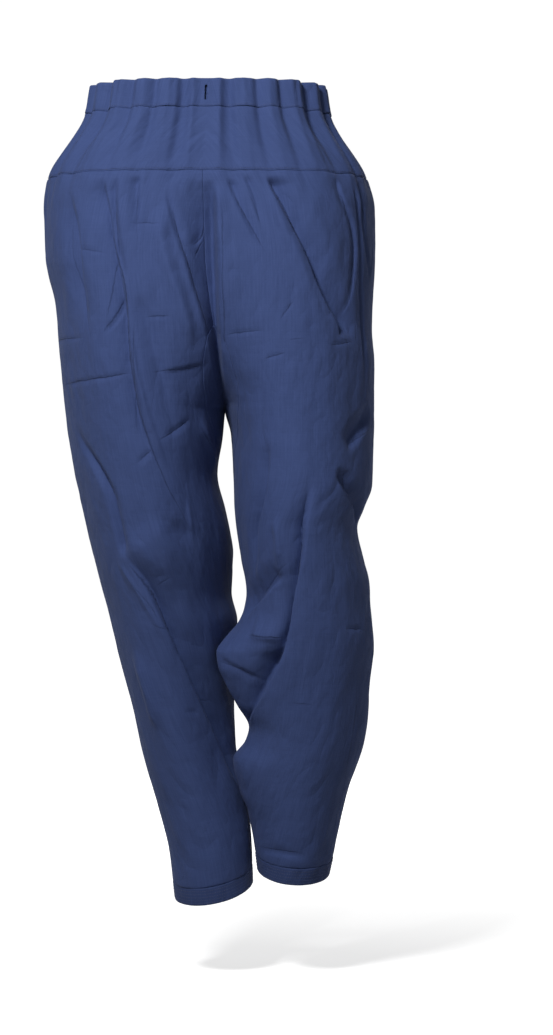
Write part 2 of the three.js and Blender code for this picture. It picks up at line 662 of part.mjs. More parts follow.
// The waist casing: cloth folded over to the inside, with the channel for a cord in the fold.
function casing() {
  const fold = 1.2;
  const far = 2 * WALL + CASING_CHANNEL;
  const section = table('inward z', [
    [0, -CASING_HEIGHT],
    [0, -fold],
    [far / 2, 0],
    [far, -fold],
    [far, -CASING_HEIGHT + 5],
    [2 * WALL + SEAM_GAP, -CASING_TURNING],
    [WALL + SEAM_GAP, -CASING_TURNING],
    [WALL + CASING_CHANNEL, -CASING_HEIGHT + 5],
    [WALL + CASING_CHANNEL, -fold - 0.6],
    [WALL, -fold - 0.6],
    [WALL, -CASING_HEIGHT],
  ]);
  const round = spread(0, 2, 4 * GATHERS_PER_SIDE);
  const places = [
    ...round.map((g) => ({ leg: LEFT, g })),
    ...round.slice(1, -1).reverse().map((g) => ({ leg: RIGHT, g })),
  ];
  return band(places, section);
}

// A leg's hem band, the cloth turned up and stitched down.
function hemBand(leg) {
  const top = leg.hem + HEM_HEIGHT;
  const middle = leg.hem + HEM_HEIGHT / 2;
  const section = table('inward z', [
    [0, top],
    [0, middle],
    [0.3, leg.hem],
    [HEM_WALL - 0.3, leg.hem],
    [HEM_WALL, middle],
    [HEM_WALL, top],
  ]);
  const places = spread(0, 2, 2 * COLUMNS.hem).slice(0, -1).map((g) => ({ leg, g }));
  return band(places, section);
}

// The gusset between the legs: a diamond from the front seam, under the crotch, to the back seam,
// with its other two corners on the inseams.
function gusset() {
  const points = [];
  const inward = [];
  const triangles = [];
  for (const leg of [RIGHT, LEFT]) {
    for (const onFront of [true, false]) {
      const seamShare = onFront ? 0 : 2;
      const places = GUSSET_LEVELS
        .flatMap((z) => spread(seamShare, leg.gussetShare(z, onFront), COLUMNS.gusset)
          .map((g, column) => ({ z, g, edge: column === COLUMNS.gusset })));
      const base = points.length;
      const own = places.map(({ z, g }) => leg.point(z, g));
      const apart = (a, b) => own[a].distanceTo(own[b]);
      const turned = leg.side * (onFront ? 1 : -1) > 0;
      for (const [a, b, c] of gridTriangles(GUSSET_LEVELS.length, COLUMNS.gusset + 1, apart)) {
        triangles.push((turned ? [a, c, b] : [a, b, c]).map((corner) => corner + base));
      }
      points.push(...own);
      inward.push(...places.map(({ z, g, edge }) => (
        edge ? leg.inward(z, g) : null)));
    }
  }
  return thicken(...weldedSheet(points, triangles, inward));
}

// Points that coincide made one, with an inward step from the mesh where none is given.
function weldedSheet(points, triangles, inward) {
  const keys = new Map();
  const kept = [];
  const steps = [];
  const merged = points.map((point, i) => {
    const key = point.toArray().map((value) => Math.round(value * 100)).join(' ');
    if (!keys.has(key)) {
      keys.set(key, kept.length);
      kept.push(point);
      steps.push(null);
    }
    const target = keys.get(key);
    if (inward[i] && !steps[target]) steps[target] = inward[i];
    return target;
  });
  const faces = triangles
    .map((triangle) => triangle.map((corner) => merged[corner]))
    .filter(([a, b, c]) => a !== b && b !== c && c !== a);
  const sheet = indexedGeometry(kept, faces);
  sheet.computeVertexNormals();
  const normals = sheet.getAttribute('normal');
  const moves = kept.map((point, i) => (
    steps[i] ?? new THREE.Vector3().fromBufferAttribute(normals, i).multiplyScalar(-WALL)));
  return [kept, faces, moves];
}

// Solids cut with manifold-3d
const wasm = await Module();
wasm.setup();

function toSolid(geometry) {
  const bare = new THREE.BufferGeometry();
  bare.setAttribute('position', geometry.getAttribute('position').clone());
  bare.setIndex(geometry.getIndex().clone());
  const merged = mergeVertices(bare, 1e-4);
  return new wasm.Manifold(new wasm.Mesh({
    numProp: 3,
    vertProperties: new Float32Array(merged.getAttribute('position').array),
    triVerts: new Uint32Array(merged.getIndex().array),
  }));
}

function toGeometry(solid) {
  const mesh = solid.getMesh();
  const geometry = new THREE.BufferGeometry();
  geometry.setAttribute('position', new THREE.BufferAttribute(mesh.vertProperties, 3));
  geometry.setIndex(new THREE.BufferAttribute(mesh.triVerts, 1));
  return geometry;
}

// One half of the casing, parted from the other at the side seams. The front half has a slit in the
// middle of its outer layer, which the cord comes out of.
function halfCasing(onFront) {
  const span = 600;
  const other = new THREE.BoxGeometry(span, span, span);
  const toOther = onFront ? 1 : -1;
  other.translate(0, LEFT.section.sideY(0) + toOther * (span / 2 - HALF_GAP), 0);
  const half = toSolid(casing()).subtract(toSolid(other));
  if (!onFront) return toGeometry(half);
  const height = SLIT_TOP - SLIT_BOTTOM;
  const middle = (SLIT_TOP + SLIT_BOTTOM) / 2;
  const depth = 2 * WALL + CASING_CHANNEL;
  const slit = new THREE.BoxGeometry(SLIT_WIDTH, depth, height);
  const outerY = seam.frontY(middle);
  slit.translate(seam.x(middle), outerY + WALL + CASING_CHANNEL / 2 - depth / 2, middle);
  return toGeometry(half.subtract(toSolid(slit)));
}

const group = new THREE.Group();

function add(name, geometry, color) {
  const material = new THREE.MeshStandardMaterial({ color, roughness: 0.82, metalness: 0 });
  const mesh = new THREE.Mesh(geometry, material);
  mesh.name = name;
  group.add(mesh);
}

const CLOTH = 0x3d4a78;
const HEM_CLOTH = 0x2c3658;
add('waist_casing_front', halfCasing(true), CLOTH);
add('waist_casing_back', halfCasing(false), CLOTH);
add('yoke_front', yoke(true), CLOTH);
add('yoke_back', yoke(false), CLOTH);
for (const [side, leg] of [['right', RIGHT], ['left', LEFT]]) {
  add(`leg_${side}_front`, panel(leg, true), CLOTH);
  add(`leg_${side}_back`, panel(leg, false), CLOTH);
  add(`hem_${side}`, hemBand(leg), HEM_CLOTH);
}
add('gusset', gusset(), CLOTH);

export default group;
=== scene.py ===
import math

import bpy
import numpy as np
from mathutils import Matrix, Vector


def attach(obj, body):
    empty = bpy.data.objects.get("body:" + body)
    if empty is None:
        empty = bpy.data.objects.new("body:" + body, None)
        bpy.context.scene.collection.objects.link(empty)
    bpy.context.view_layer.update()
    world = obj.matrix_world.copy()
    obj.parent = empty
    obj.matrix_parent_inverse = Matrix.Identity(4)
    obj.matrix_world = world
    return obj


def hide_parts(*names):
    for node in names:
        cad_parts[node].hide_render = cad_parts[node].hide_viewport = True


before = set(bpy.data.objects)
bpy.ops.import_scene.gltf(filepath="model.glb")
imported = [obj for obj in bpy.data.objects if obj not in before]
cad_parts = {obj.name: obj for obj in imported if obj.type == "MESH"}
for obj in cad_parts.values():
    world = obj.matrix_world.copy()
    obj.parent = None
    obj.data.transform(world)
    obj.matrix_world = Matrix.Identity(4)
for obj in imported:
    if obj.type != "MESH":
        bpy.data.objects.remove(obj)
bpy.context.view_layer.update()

# A salwar in plain blue cotton, worn and hollow. Sizes are in millimetres, and MM turns them into
# the scene's metres.
MM = 0.001
BODY = "root"
HALVES = ("front", "back")

# Cloth
CLOTH = 1.1
BAND_CLOTH = 0.8
SEAM_FADE = 8
SEAM_HALF = 0.06
GROOVE_DEPTH = 0.7
GROOVE_WIDTH = 4
CENTRE_GROOVE = 0.5
PRESS_REACH = 9
PRESS_WIDTH = 1.2
THREAD_PAIR = 0.46

# Waist and yoke
CASING_HEIGHT = 34
CASING_DEPTH = 5.4
CASING_TURNING = 40
SLIT_WIDTH = 3.6
SLIT_TOP = -9
SLIT_BOTTOM = -26
YOKE_BOTTOM = -110
GATHERS_PER_SIDE = 13
GATHER_DEPTH = 4
GATHER_END = -165
GATHER_FREE = 5
GATHER_RISE = 16

# Legs and gusset
GUSSET_TOP = -290
CROTCH = -386
GUSSET_TIP = -462
HEM_HEIGHT = 21
HEM_DEPTH = 2.4
TILT_START = -600
FULLNESS = 0.55

# Stitching. The rows are measured up from the seam or edge below them, and end ROW_END short of
# the side seams.
CASING_ROW = 2.4
YOKE_ROW = 2.2
HEM_FIRST_ROW = 2.4
HEM_ROW_SPACING = 3.7
HEM_ROWS = 5
ROW_END = 1
STITCH_LENGTH = 2.3
STITCH_PITCH = 3.0
STITCH_START = 0.15
STITCH_STEP = 0.5
STITCH_THICKNESS = 0.42
STITCH_SIDES = 6

# The photograph's frame, the place of the eye that took it, and the floor's height
PHOTO_HEIGHT = 1035
MM_PER_PIXEL = 1.2
EYE = {"x": 82, "z": -515, "distance": 4000}
EYE_ROUNDS = 4
SENSOR = 36
FLOOR = -1061

# Fineness. CLOSE is where the points near a seam lie, as shares of the groove's width. A layer is
# one side of a folded edge.
CURVE_SAMPLES = 24
SPLINE_STEPS = 8
TURN_STEPS = 8
HALVINGS = 24
CLOSE = (0, 0.25, 0.55)
WELDS_PER_MM = 50
YOKE_GRID = {"levels": 34, "columns": 118}
GUSSET_GRID = {"above": 48, "below": 36, "columns": 26}
CASING_GRID = {"layer": 17, "columns": 150}
HEM_GRID = {"layer": 14, "columns": 361}
ROW_POINTS = 400
HEM_ROW_POINTS = 900

# Random unevenness: the side of the square of values, where the chart lies on it, and the seeds
LATTICE = 64
LATTICE_START = (200.3, 200.7)
SEEDS = {"leg": 11, "yoke": 23, "casing": 31, "hem": 37}

# Colours, and the room: its sizes in metres, where its glow changes, and its own light
BASE = (0.037, 0.061, 0.172)
PALE = (0.049, 0.077, 0.204)
THREAD = (0.040, 0.055, 0.135)
FLOOR_RADIUS = 13.5
BACKDROP_RADIUS = 14
GLOW_NEAR = 0.25
GLOW_FAR = 1.8
WORLD_LIGHT = 0.15


def table(columns, rows):
    """Rows with named columns, from one line of names and one list a row."""
    return [dict(zip(columns.split(), row)) for row in rows]


LEG_CUTS = table("leg side width length area", [
    ["right", "front", 0.34, 0.86, 0.240],
    ["right", "back", 0.32, 0.86, 0.210],
    ["left", "front", 0.34, 0.86, 0.235],
    ["left", "back", 0.33, 0.86, 0.220],
])

# How many levels a leg's front and back have in each stretch, and how many places each level has
PANEL_GRIDS = table("seat above below leg columns", [
    [68, 44, 32, 176, 142],
    [48, 32, 24, 120, 92],
])

# Rings of a stitch, as shares: how far along it, how high over the cloth, and how wide
STITCH = table("along height width", [
    [0, -0.25, 0.3], [0.16, 0.55, 0.85], [0.5, 0.8, 1], [0.84, 0.55, 0.85], [1, -0.25, 0.3],
])

# Fine unevenness of worn cotton: depth, lump width and height, and lean from the upright
RIPPLES = table("depth width height lean", [
    [0.9, 34, 90, 0.10],
    [0.55, 17, 46, -0.22],
    [0.28, 9, 22, 0.35],
    [0.12, 4.5, 9, -0.1],
])

# Softboxes: how strong, how large, where they stand and where they look, in metres
SOFTBOXES = table("name power size x y z lookX lookY lookZ", [
    ["key", 38, 0.4, -0.54, -1.55, 0.80, 0.02, 0, -0.44],
    ["fill", 4.5, 2.0, 1.6, -3.2, -0.3, 0.05, 0, -0.5],
    ["behind", 26, 1.6, 0.5, 2.4, 0.9, 0, 0, -0.5],
])

# Centre seams above the crotch. turn is the angle, from straight across to straight forward, in
# degrees, that each leg's cloth leaves the seam at.
SEAM = table("z x frontY backY turn", [
    [0, 0, -98, 100, 0],
    [-34, -1, -103, 108, 0],
    [-110, -4, -118, 134, 0],
    [-160, -3, -125, 146, 0],
    [-220, -1, -128, 152, 6],
    [-270, 5, -121, 150, 20],
    [-310, 11, -104, 140, 38],
    [-340, 14, -82, 122, 54],
    [-360, 17, -58, 98, 66],
    [-374, 19, -32, 68, 78],
    [-382, 20, -4, 40, 86],
    [CROTCH, 20, 18, 18, 90],
])

# The valley that the cloth makes between the legs in front. depth is how far back it lies at the
# centre seam, and slope is the width over which the right leg's cloth falls to it. The fall goes on
# across the left leg for the width of floor, and then the cloth comes forward again within edge.
VALLEY = table("z depth slope floor edge", [
    [-122, 0, 36, 9, 10],
    [-150, 12, 34, 9, 9],
    [-194, 21, 26, 9, 8],
    [-232, 23, 20, 8, 8],
    [-280, 21, 14, 4, 8],
    [-310, 17, 12, 2, 8],
    [-350, 9, 12, 2, 9],
    [-378, 0, 12, 2, 12],
])
FLOOR_FALL = 0.25
SLOPE_ROUNDING = 0.2

# Leg sections: the side seam, the foremost point and the rearmost point at each height
SECTION_COLUMNS = "z sideX sideY frontX frontY backX backY"
RIGHT_SECTIONS = table(SECTION_COLUMNS, [
    [0, -140, 2, -50, -98, -50, 100],
    [-34, -146, 2, -52, -103, -55, 108],
    [-110, -192, 6, -70, -118, -72, 134],
    [-145, -197, 8, -75, -124, -76, 143],
    [-200, -196, 10, -80, -131, -80, 152],
    [-260, -184, 12, -82, -134, -84, 155],
    [-320, -179, 12, -82, -134, -84, 151],
    [-376, -173, 12, -78, -131, -80, 144],
    [-448, -163, 12, -72, -124, -76, 132],
    [-505, -151, 14, -66, -118, -66, 124],
    [-563, -137, 14, -62, -110, -54, 115],
    [-620, -122, 14, -58, -98, -46, 107],
    [-678, -107, 14, -50, -86, -38, 100],
    [-736, -91, 14, -40, -76, -30, 94],
    [-793, -77, 12, -26, -66, -22, 86],
    [-851, -60, 10, -10, -58, -8, 77],
    [-908, -46, 8, 2, -54, 4, 68],
    [-962, -40, 5, 7, -52, 8, 62],
])
LEFT_SECTIONS = table(SECTION_COLUMNS, [
    [0, 140, 2, 50, -98, 50, 100],
    [-34, 146, 2, 52, -103, 55, 108],
    [-110, 190, 4, 70, -118, 72, 134],
    [-145, 199, 4, 78, -125, 78, 143],
    [-203, 200, 4, 84, -133, 84, 152],
    [-246, 198, 2, 88, -136, 88, 154],
    [-289, 197, 0, 92, -138, 90, 152],
    [-332, 200, -4, 96, -139, 94, 148],
    [-376, 199, -8, 100, -140, 98, 140],
    [-433, 198, -12, 106, -142, 104, 124],
    [-476, 196, -18, 110, -144, 108, 110],
    [-505, 186, -24, 112, -144, 110, 100],
    [-527, 178, -28, 114, -143, 111, 92],
    [-563, 185, -30, 115, -139, 112, 82],
    [-592, 192, -30, 116, -134, 112, 76],
    [-620, 194, -28, 116, -130, 112, 70],
    [-664, 198, -26, 116, -122, 112, 62],
    [-707, 194, -22, 114, -113, 112, 57],
    [-750, 191, -18, 113, -104, 112, 54],
    [-779, 186, -16, 112, -98, 112, 52],
    [-836, 167, -10, 108, -85, 108, 50],
    [-894, 154, -6, 106, -72, 106, 49],
    [-940, 145, -4, 103, -62, 104, 48],
])

# Inseams below the crotch. full and fullBack are how rounded the leg is beside the inseam.
INSEAM_COLUMNS = "z x y full fullBack"
RIGHT_INSEAM = table(INSEAM_COLUMNS, [
    [CROTCH, 20, 18, 0.55, 0.55],
    [-419, 17, 18, 0.55, 0.55],
    [-462, 11, 20, 0.55, 0.55],
    [-505, 20, 22, 0.5, 0.55],
    [-534, 26, 22, 0.45, 0.55],
    [-563, 29, 24, 0.36, 0.55],
    [-605, 28, 27, 0.24, 0.55],
    [-640, 35, 29, 0.2, 0.55],
    [-678, 33, 30, 0.18, 0.55],
    [-736, 31, 28, 0.2, 0.55],
    [-793, 33, 24, 0.25, 0.55],
    [-851, 45, 18, 0.4, 0.55],
    [-908, 52, 10, 0.52, 0.55],
    [-962, 54, 5, 0.55, 0.55],
])
LEFT_INSEAM = table(INSEAM_COLUMNS, [
    [CROTCH, 20, 18, 0.55, 0.55],
    [-419, 28, 12, 0.55, 0.55],
    [-462, 30, 0, 0.55, 0.5],
    [-505, 32, -8, 0.5, 0.45],
    [-563, 40, -16, 0.45, 0.4],
    [-605, 46, -22, 0.35, 0.3],
    [-624, 43, -29, 0.3, 0.27],
    [-640, 36, -37, 0.27, 0.24],
    [-658, 21, -47, 0.24, 0.2],
    [-674, 10.5, -53, 0.24, 0.2],
    [-690, 12.5, -55, 0.24, 0.2],
    [-706, 19, -53, 0.26, 0.21],
    [-738, 36, -44, 0.32, 0.26],
    [-764, 49, -33, 0.38, 0.32],
    [-780, 45, -27, 0.4, 0.35],
    [-804, 30, -22, 0.45, 0.4],
    [-842, 38, -14, 0.5, 0.5],
    [-865, 47, -10, 0.55, 0.55],
    [-902, 54, -6, 0.55, 0.55],
    [-940, 59, -4, 0.55, 0.55],
])


def crease_table(on, rows):
    """Creases of one part of a leg. depth is how far the cloth stands out, or in where it is below
    zero. inside and outside are the widths on the path's two sides. Inside is towards the inseam
    for a path that runs down the front, above one that runs level to the middle, and below one that
    runs level to the side seam. crisp is 0 for a soft fold and 1 for a sharp one, and start and end
    are the shares of the path over which it fades in and out. A front path is as the eye sees it,
    a back path goes by x and z, and a side path by the distance in front of the side seam and z."""
    columns = "depth inside outside crisp start end path"
    return [{"on": on, **row} for row in table(columns, rows)]


def press_table(rows):
    """Thin pressed creases of a front, as the eye sees them, drawn as bump and as painted shade in the
    colour.
    """
    return [{"on": "front", **row} for row in table("strength start end path", rows)]


RIGHT_CREASES = crease_table("front", [
    [-9, 9, 30, 0.5, 0.2, 0.35, [[-166, -118], [-158, -190], [-154, -236], [-142, -300]]],
    [-10, 5, 34, 0.75, 0.1, 0.3,
     [[-128, -104], [-121, -150], [-109, -218], [-98, -284], [-92, -343], [-77, -413], [-50, -470]]],
    [3, 4, 7, 0.6, 0.2, 0.3, [[-96, -270], [-84, -345], [-70, -400], [-44, -470]]],
    [-7, 7, 12, 0.6, 0.15, 0.4, [[-110, -104], [-113, -150], [-105, -204], [-99, -240]]],
    [-3, 4, 8, 0.7, 0.3, 0.3, [[-100, -250], [-108, -272], [-127, -300]]],
    [-5, 6, 14, 0.6, 0.1, 0.5, [[-84, -104], [-86, -140], [-82, -200]]],
    [-5, 14, 18, 0.3, 0.3, 0.4, [[-84, -242], [-74, -281], [-58, -337], [-43, -398]]],
    [6, 14, 14, 0.2, 0.2, 0.3, [[-60, -140], [-34, -254], [-19, -314]]],
    [-5, 12, 5, 0.7, 0.15, 0.3, [[-50, -118], [-40, -160], [-25, -206], [-15, -239], [-4, -278]]],
    [-3, 5, 9, 0.7, 0.3, 0.4, [[-4, -168], [-12, -180], [-20, -190]]],
    [-3, 6, 26, 0.6, 0.4, 0.4, [[-62, -342], [-40, -340], [-20, -336], [2, -330]]],
    [4, 22, 14, 0.6, 0.3, 0.3, [[-12, -392], [2, -430], [9, -466]]],
    [-9, 16, 9, 0.6, 0.3, 0.15, [[-162, -402], [-138, -451], [-119, -487], [-108, -533], [-102, -565]]],
    [5, 24, 56, 0.2, 0.3, 0.4, [[-100, -562], [-76, -550], [-56, -534], [-44, -524]]],
    [-4, 20, 40, 0.1, 0.5, 0.4, [[-60, -548], [-40, -534], [-25, -538], [-13, -574]]],
    [-18, 58, 5, 0.85, 0.3, 0.4,
     [[-102, -556], [-78, -593], [-46, -648], [-26, -690], [10, -772], [32, -826], [48, -854]]],
    [3, 5, 6, 0.6, 0.2, 0.4, [[-112, -560], [-86, -602], [-56, -652], [-36, -694]]],
    [2, 5, 5, 0.6, 0.3, 0.3, [[-25, -490], [-16, -556]]],
    [-2.5, 5, 7, 0.7, 0.3, 0.3, [[-56, -421], [-20, -395]]],
    [-2, 5, 6, 0.7, 0.3, 0.3, [[-85, -450], [-67, -434]]],
    [-1.4, 4, 5, 0.8, 0.3, 0.3, [[-180, -304], [-144, -298]]],
    [-1.6, 4, 5, 0.8, 0.3, 0.3, [[-172, -358], [-130, -348], [-91, -341]]],
    [-1.3, 4, 5, 0.8, 0.3, 0.3, [[-76, -274], [-47, -274]]],
    [-1.2, 4, 5, 0.8, 0.3, 0.3, [[-97, -161], [-58, -161]]],
    [-1.4, 4, 5, 0.8, 0.3, 0.3, [[-158, -192], [-126, -196]]],
    [6, 18, 14, 0.3, 0.3, 0.3, [[-88, -668], [-71, -724], [-56, -776]]],
    [-1.5, 4, 5, 0.8, 0.3, 0.3, [[-28, -748], [-9, -750]]],
]) + crease_table("back", [
    [-6, 12, 12, 0.4, 0.1, 0.6, [[-160, -104], [-162, -230]]],
    [-7, 14, 10, 0.5, 0.1, 0.6, [[-128, -104], [-134, -290]]],
    [-6, 10, 14, 0.5, 0.1, 0.6, [[-97, -104], [-102, -220]]],
    [-7, 14, 12, 0.4, 0.1, 0.6, [[-66, -104], [-74, -320]]],
    [-5, 10, 12, 0.5, 0.1, 0.6, [[-36, -104], [-42, -210]]],
    [-9, 24, 20, 0.3, 0.4, 0.4, [[-20, -330], [-62, -372], [-118, -402]]],
    [-7, 14, 20, 0.4, 0.4, 0.4, [[0, -440], [-44, -480], [-96, -502]]],
    [-9, 12, 22, 0.5, 0.3, 0.4, [[8, -520], [-36, -560], [-92, -578]]],
    [-8, 20, 12, 0.5, 0.3, 0.4, [[-112, -606], [-62, -640], [4, -668]]],
    [-6, 16, 16, 0.3, 0.3, 0.4, [[-70, -640], [-42, -740], [-22, -850]]],
]) + crease_table("side", [
    [-7, 14, 18, 0.4, 0.2, 0.5, [[22, -112], [14, -200], [4, -300]]],
    [-6, 16, 16, 0.3, 0.3, 0.4, [[-24, -330], [-6, -430], [14, -500]]],
])
LEFT_CREASES = crease_table("front", [
    [6, 8, 40, 0.3, 0.2, 0.4, [[7, -110], [13, -157], [18, -235], [22, -281]]],
    [-6, 5, 16, 0.7, 0.15, 0.4, [[24, -106], [34, -130], [50, -164], [72, -204]]],
    [-4, 5, 12, 0.6, 0.1, 0.5, [[44, -104], [58, -140], [66, -180]]],
    [-12, 5, 36, 0.7, 0.1, 0.2,
     [[72, -104], [84, -128], [109, -174], [138, -241], [158, -279], [160, -300]]],
    [-4, 12, 5, 0.8, 0.1, 0.3,
     [[154, -104], [160, -130], [172, -160], [176, -190], [172, -241], [160, -285]]],
    [5, 12, 12, 0.3, 0.2, 0.4, [[64, -108], [90, -164], [116, -220], [136, -270]]],
    [-4, 6, 9, 0.6, 0.1, 0.4, [[177, -108], [188, -178], [194, -239]]],
    [-4, 6, 10, 0.6, 0.1, 0.4, [[170, -108], [183, -218], [186, -302], [188, -362]]],
    [-8, 26, 14, 0.3, 0.2, 0.3, [[195, -390], [180, -412], [166, -436]]],
    [-11, 7, 20, 0.7, 0.5, 0.15, [[158, -452], [164, -474], [178, -522]]],
    [-14, 62, 10, 0.2, 0.4, 0.3, [[88, -664], [68, -706], [48, -756]]],
    [-8, 22, 9, 0.5, 0.25, 0.35, [[74, -421], [67, -457], [60, -505], [56, -554], [56, -600]]],
    [4, 9, 9, 0.4, 0.3, 0.3, [[83, -509], [84, -542], [85, -575]]],
    [-8, 30, 8, 0.5, 0.2, 0.3, [[90, -583], [66, -604], [40, -635]]],
    [4, 6, 26, 0.5, 0.35, 0.35, [[46, -656], [66, -659], [90, -661]]],
    [-3, 12, 5, 0.6, 0.15, 0.4, [[14, -684], [36, -700], [62, -720]]],
    [-15, 30, 4.5, 0.85, 0.15, 0.35,
     [[121, -462], [113, -534], [104, -590], [97, -625], [86, -679], [64, -727], [47, -772],
      [29, -810]]],
    [-4, 6, 7, 0.6, 0.3, 0.3, [[97, -607], [94, -640], [84, -672]]],
    [-1.5, 5, 4, 0.8, 0.3, 0.3, [[164, -648], [185, -648]]],
    [-1.4, 4, 5, 0.8, 0.3, 0.3, [[67, -324], [92, -318]]],
    [-1.4, 4, 5, 0.8, 0.3, 0.3, [[88, -275], [102, -256]]],
    [-1.3, 4, 5, 0.8, 0.3, 0.3, [[22, -295], [67, -290]]],
    [-1.3, 4, 5, 0.8, 0.3, 0.3, [[146, -308], [173, -304]]],
    [-2.5, 6, 12, 0.5, 0.4, 0.4, [[60, -912], [92, -918], [122, -924]]],
]) + crease_table("back", [
    [-6, 12, 12, 0.4, 0.1, 0.6, [[162, -104], [164, -240]]],
    [-7, 10, 14, 0.5, 0.1, 0.6, [[132, -104], [138, -270]]],
    [-6, 14, 10, 0.5, 0.1, 0.6, [[100, -104], [104, -230]]],
    [-7, 12, 14, 0.4, 0.1, 0.6, [[68, -104], [78, -330]]],
    [-5, 12, 10, 0.5, 0.1, 0.6, [[34, -104], [40, -200]]],
    [-9, 20, 24, 0.3, 0.4, 0.4, [[34, -336], [78, -376], [140, -398]]],
    [-8, 20, 14, 0.4, 0.4, 0.4, [[52, -450], [100, -474], [158, -480]]],
    [-9, 22, 12, 0.5, 0.3, 0.4, [[60, -540], [110, -556], [160, -552]]],
    [-7, 12, 20, 0.5, 0.3, 0.4, [[172, -592], [128, -620], [70, -640]]],
    [-6, 16, 16, 0.3, 0.3, 0.4, [[148, -640], [132, -740], [122, -850]]],
]) + crease_table("side", [
    [-7, 14, 18, 0.4, 0.2, 0.5, [[-20, -112], [-16, -220], [-2, -320]]],
    [-6, 14, 14, 0.3, 0.3, 0.4, [[-40, -560], [-10, -640], [10, -740]]],
])

RIGHT_PRESSES = press_table([
    [1.0, 0.1, 0.3,
     [[-125, -143], [-104, -221], [-97, -284], [-92, -343], [-79, -400], [-52, -470], [-28, -515],
      [-15, -548]]],
    [0.7, 0.3, 0.3, [[-88, -262], [-89, -340], [-84, -430]]],
    [0.6, 0.2, 0.4, [[-167, -150], [-162, -217], [-143, -288], [-140, -302]]],
    [0.8, 0.2, 0.3, [[-109, -196], [-116, -240], [-124, -284]]],
    [0.9, 0.3, 0.3, [[-101, -249], [-111, -270], [-128, -297]]],
    [0.7, 0.2, 0.4, [[-112, -140], [-110, -176], [-103, -214]]],
    [0.5, 0.2, 0.5, [[-84, -122], [-86, -160], [-83, -196]]],
    [1.0, 0.3, 0.3, [[2, -160], [-8, -176], [-20, -189]]],
    [0.8, 0.3, 0.4, [[-4, -178], [-18, -206]]],
    [0.9, 0.2, 0.3, [[-44, -134], [-38, -166], [-25, -206], [-15, -239], [-3, -282], [8, -322]]],
    [0.7, 0.3, 0.3, [[-73, -342], [-48, -339], [-24, -337], [3, -330]]],
    [0.7, 0.3, 0.3, [[-182, -304], [-144, -299]]],
    [0.9, 0.3, 0.3, [[-174, -358], [-130, -348], [-90, -341]]],
    [0.7, 0.3, 0.3, [[-76, -274], [-44, -273]]],
    [0.7, 0.3, 0.3, [[-97, -161], [-56, -162]]],
    [0.5, 0.3, 0.3, [[-158, -192], [-122, -197]]],
    [0.8, 0.3, 0.3, [[-62, -424], [-42, -413], [-18, -394]]],
    [0.7, 0.3, 0.3, [[-88, -452], [-66, -433]]],
    [0.7, 0.3, 0.3, [[-12, -402], [2, -430], [11, -462]]],
    [0.8, 0.3, 0.3, [[-150, -424], [-132, -460], [-113, -498], [-103, -532], [-99, -566]]],
    [1.0, 0.1, 0.2,
     [[-99, -566], [-75, -600], [-44, -650], [-25, -692], [10, -772], [32, -826], [44, -850]]],
    [0.5, 0.3, 0.3, [[-96, -588], [-72, -618], [-58, -640]]],
    [0.6, 0.3, 0.3, [[-70, -642], [-40, -654]]],
    [0.5, 0.3, 0.3, [[-62, -600], [-44, -586]]],
    [0.7, 0.3, 0.3, [[-12, -737], [10, -734]]],
    [0.4, 0.3, 0.3, [[-88, -690], [-74, -730], [-58, -776]]],
])
LEFT_PRESSES = press_table([
    [0.9, 0.15, 0.4, [[30, -127], [50, -163], [72, -204]]],
    [0.5, 0.2, 0.5, [[46, -122], [60, -152], [66, -186]]],
    [1.0, 0.1, 0.1, [[80, -120], [109, -174], [138, -241], [158, -279], [160, -298]]],
    [0.9, 0.1, 0.3, [[158, -124], [167, -148], [176, -186], [173, -241], [161, -284]]],
    [0.8, 0.1, 0.3, [[181, -124], [193, -198], [196, -298]]],
    [0.8, 0.3, 0.3, [[172, -196], [178, -260], [179, -316]]],
    [0.8, 0.2, 0.3, [[16, -130], [18, -200], [20, -280], [24, -350]]],
    [1.0, 0.2, 0.2,
     [[119, -470], [112, -534], [103, -590], [96, -627], [85, -680], [64, -728], [47, -772]]],
    [0.9, 0.3, 0.3, [[66, -325], [94, -317]]],
    [0.8, 0.3, 0.3, [[86, -278], [103, -254]]],
    [0.7, 0.3, 0.3, [[20, -296], [68, -290]]],
    [0.7, 0.3, 0.3, [[144, -309], [176, -304]]],
    [0.5, 0.3, 0.3, [[96, -302], [116, -300]]],
    [0.9, 0.3, 0.2, [[161, -452], [172, -492], [179, -518]]],
    [0.7, 0.3, 0.3, [[163, -437], [180, -421], [197, -404]]],
    [0.9, 0.3, 0.3, [[46, -656], [66, -659], [90, -660]]],
    [0.6, 0.3, 0.3, [[98, -566], [78, -586], [58, -612]]],
    [0.7, 0.3, 0.3, [[162, -648], [188, -650]]],
    [0.5, 0.2, 0.4, [[12, -686], [36, -700], [60, -716]]],
    [0.7, 0.3, 0.3, [[181, -690], [177, -746], [165, -806], [158, -856]]],
    [0.5, 0.3, 0.3, [[100, -738], [128, -741]]],
    [0.6, 0.4, 0.4, [[58, -908], [92, -915], [120, -920]]],
])


def smooth(share):
    s = np.clip(share, 0, 1)
    return s * s * (3 - 2 * s)


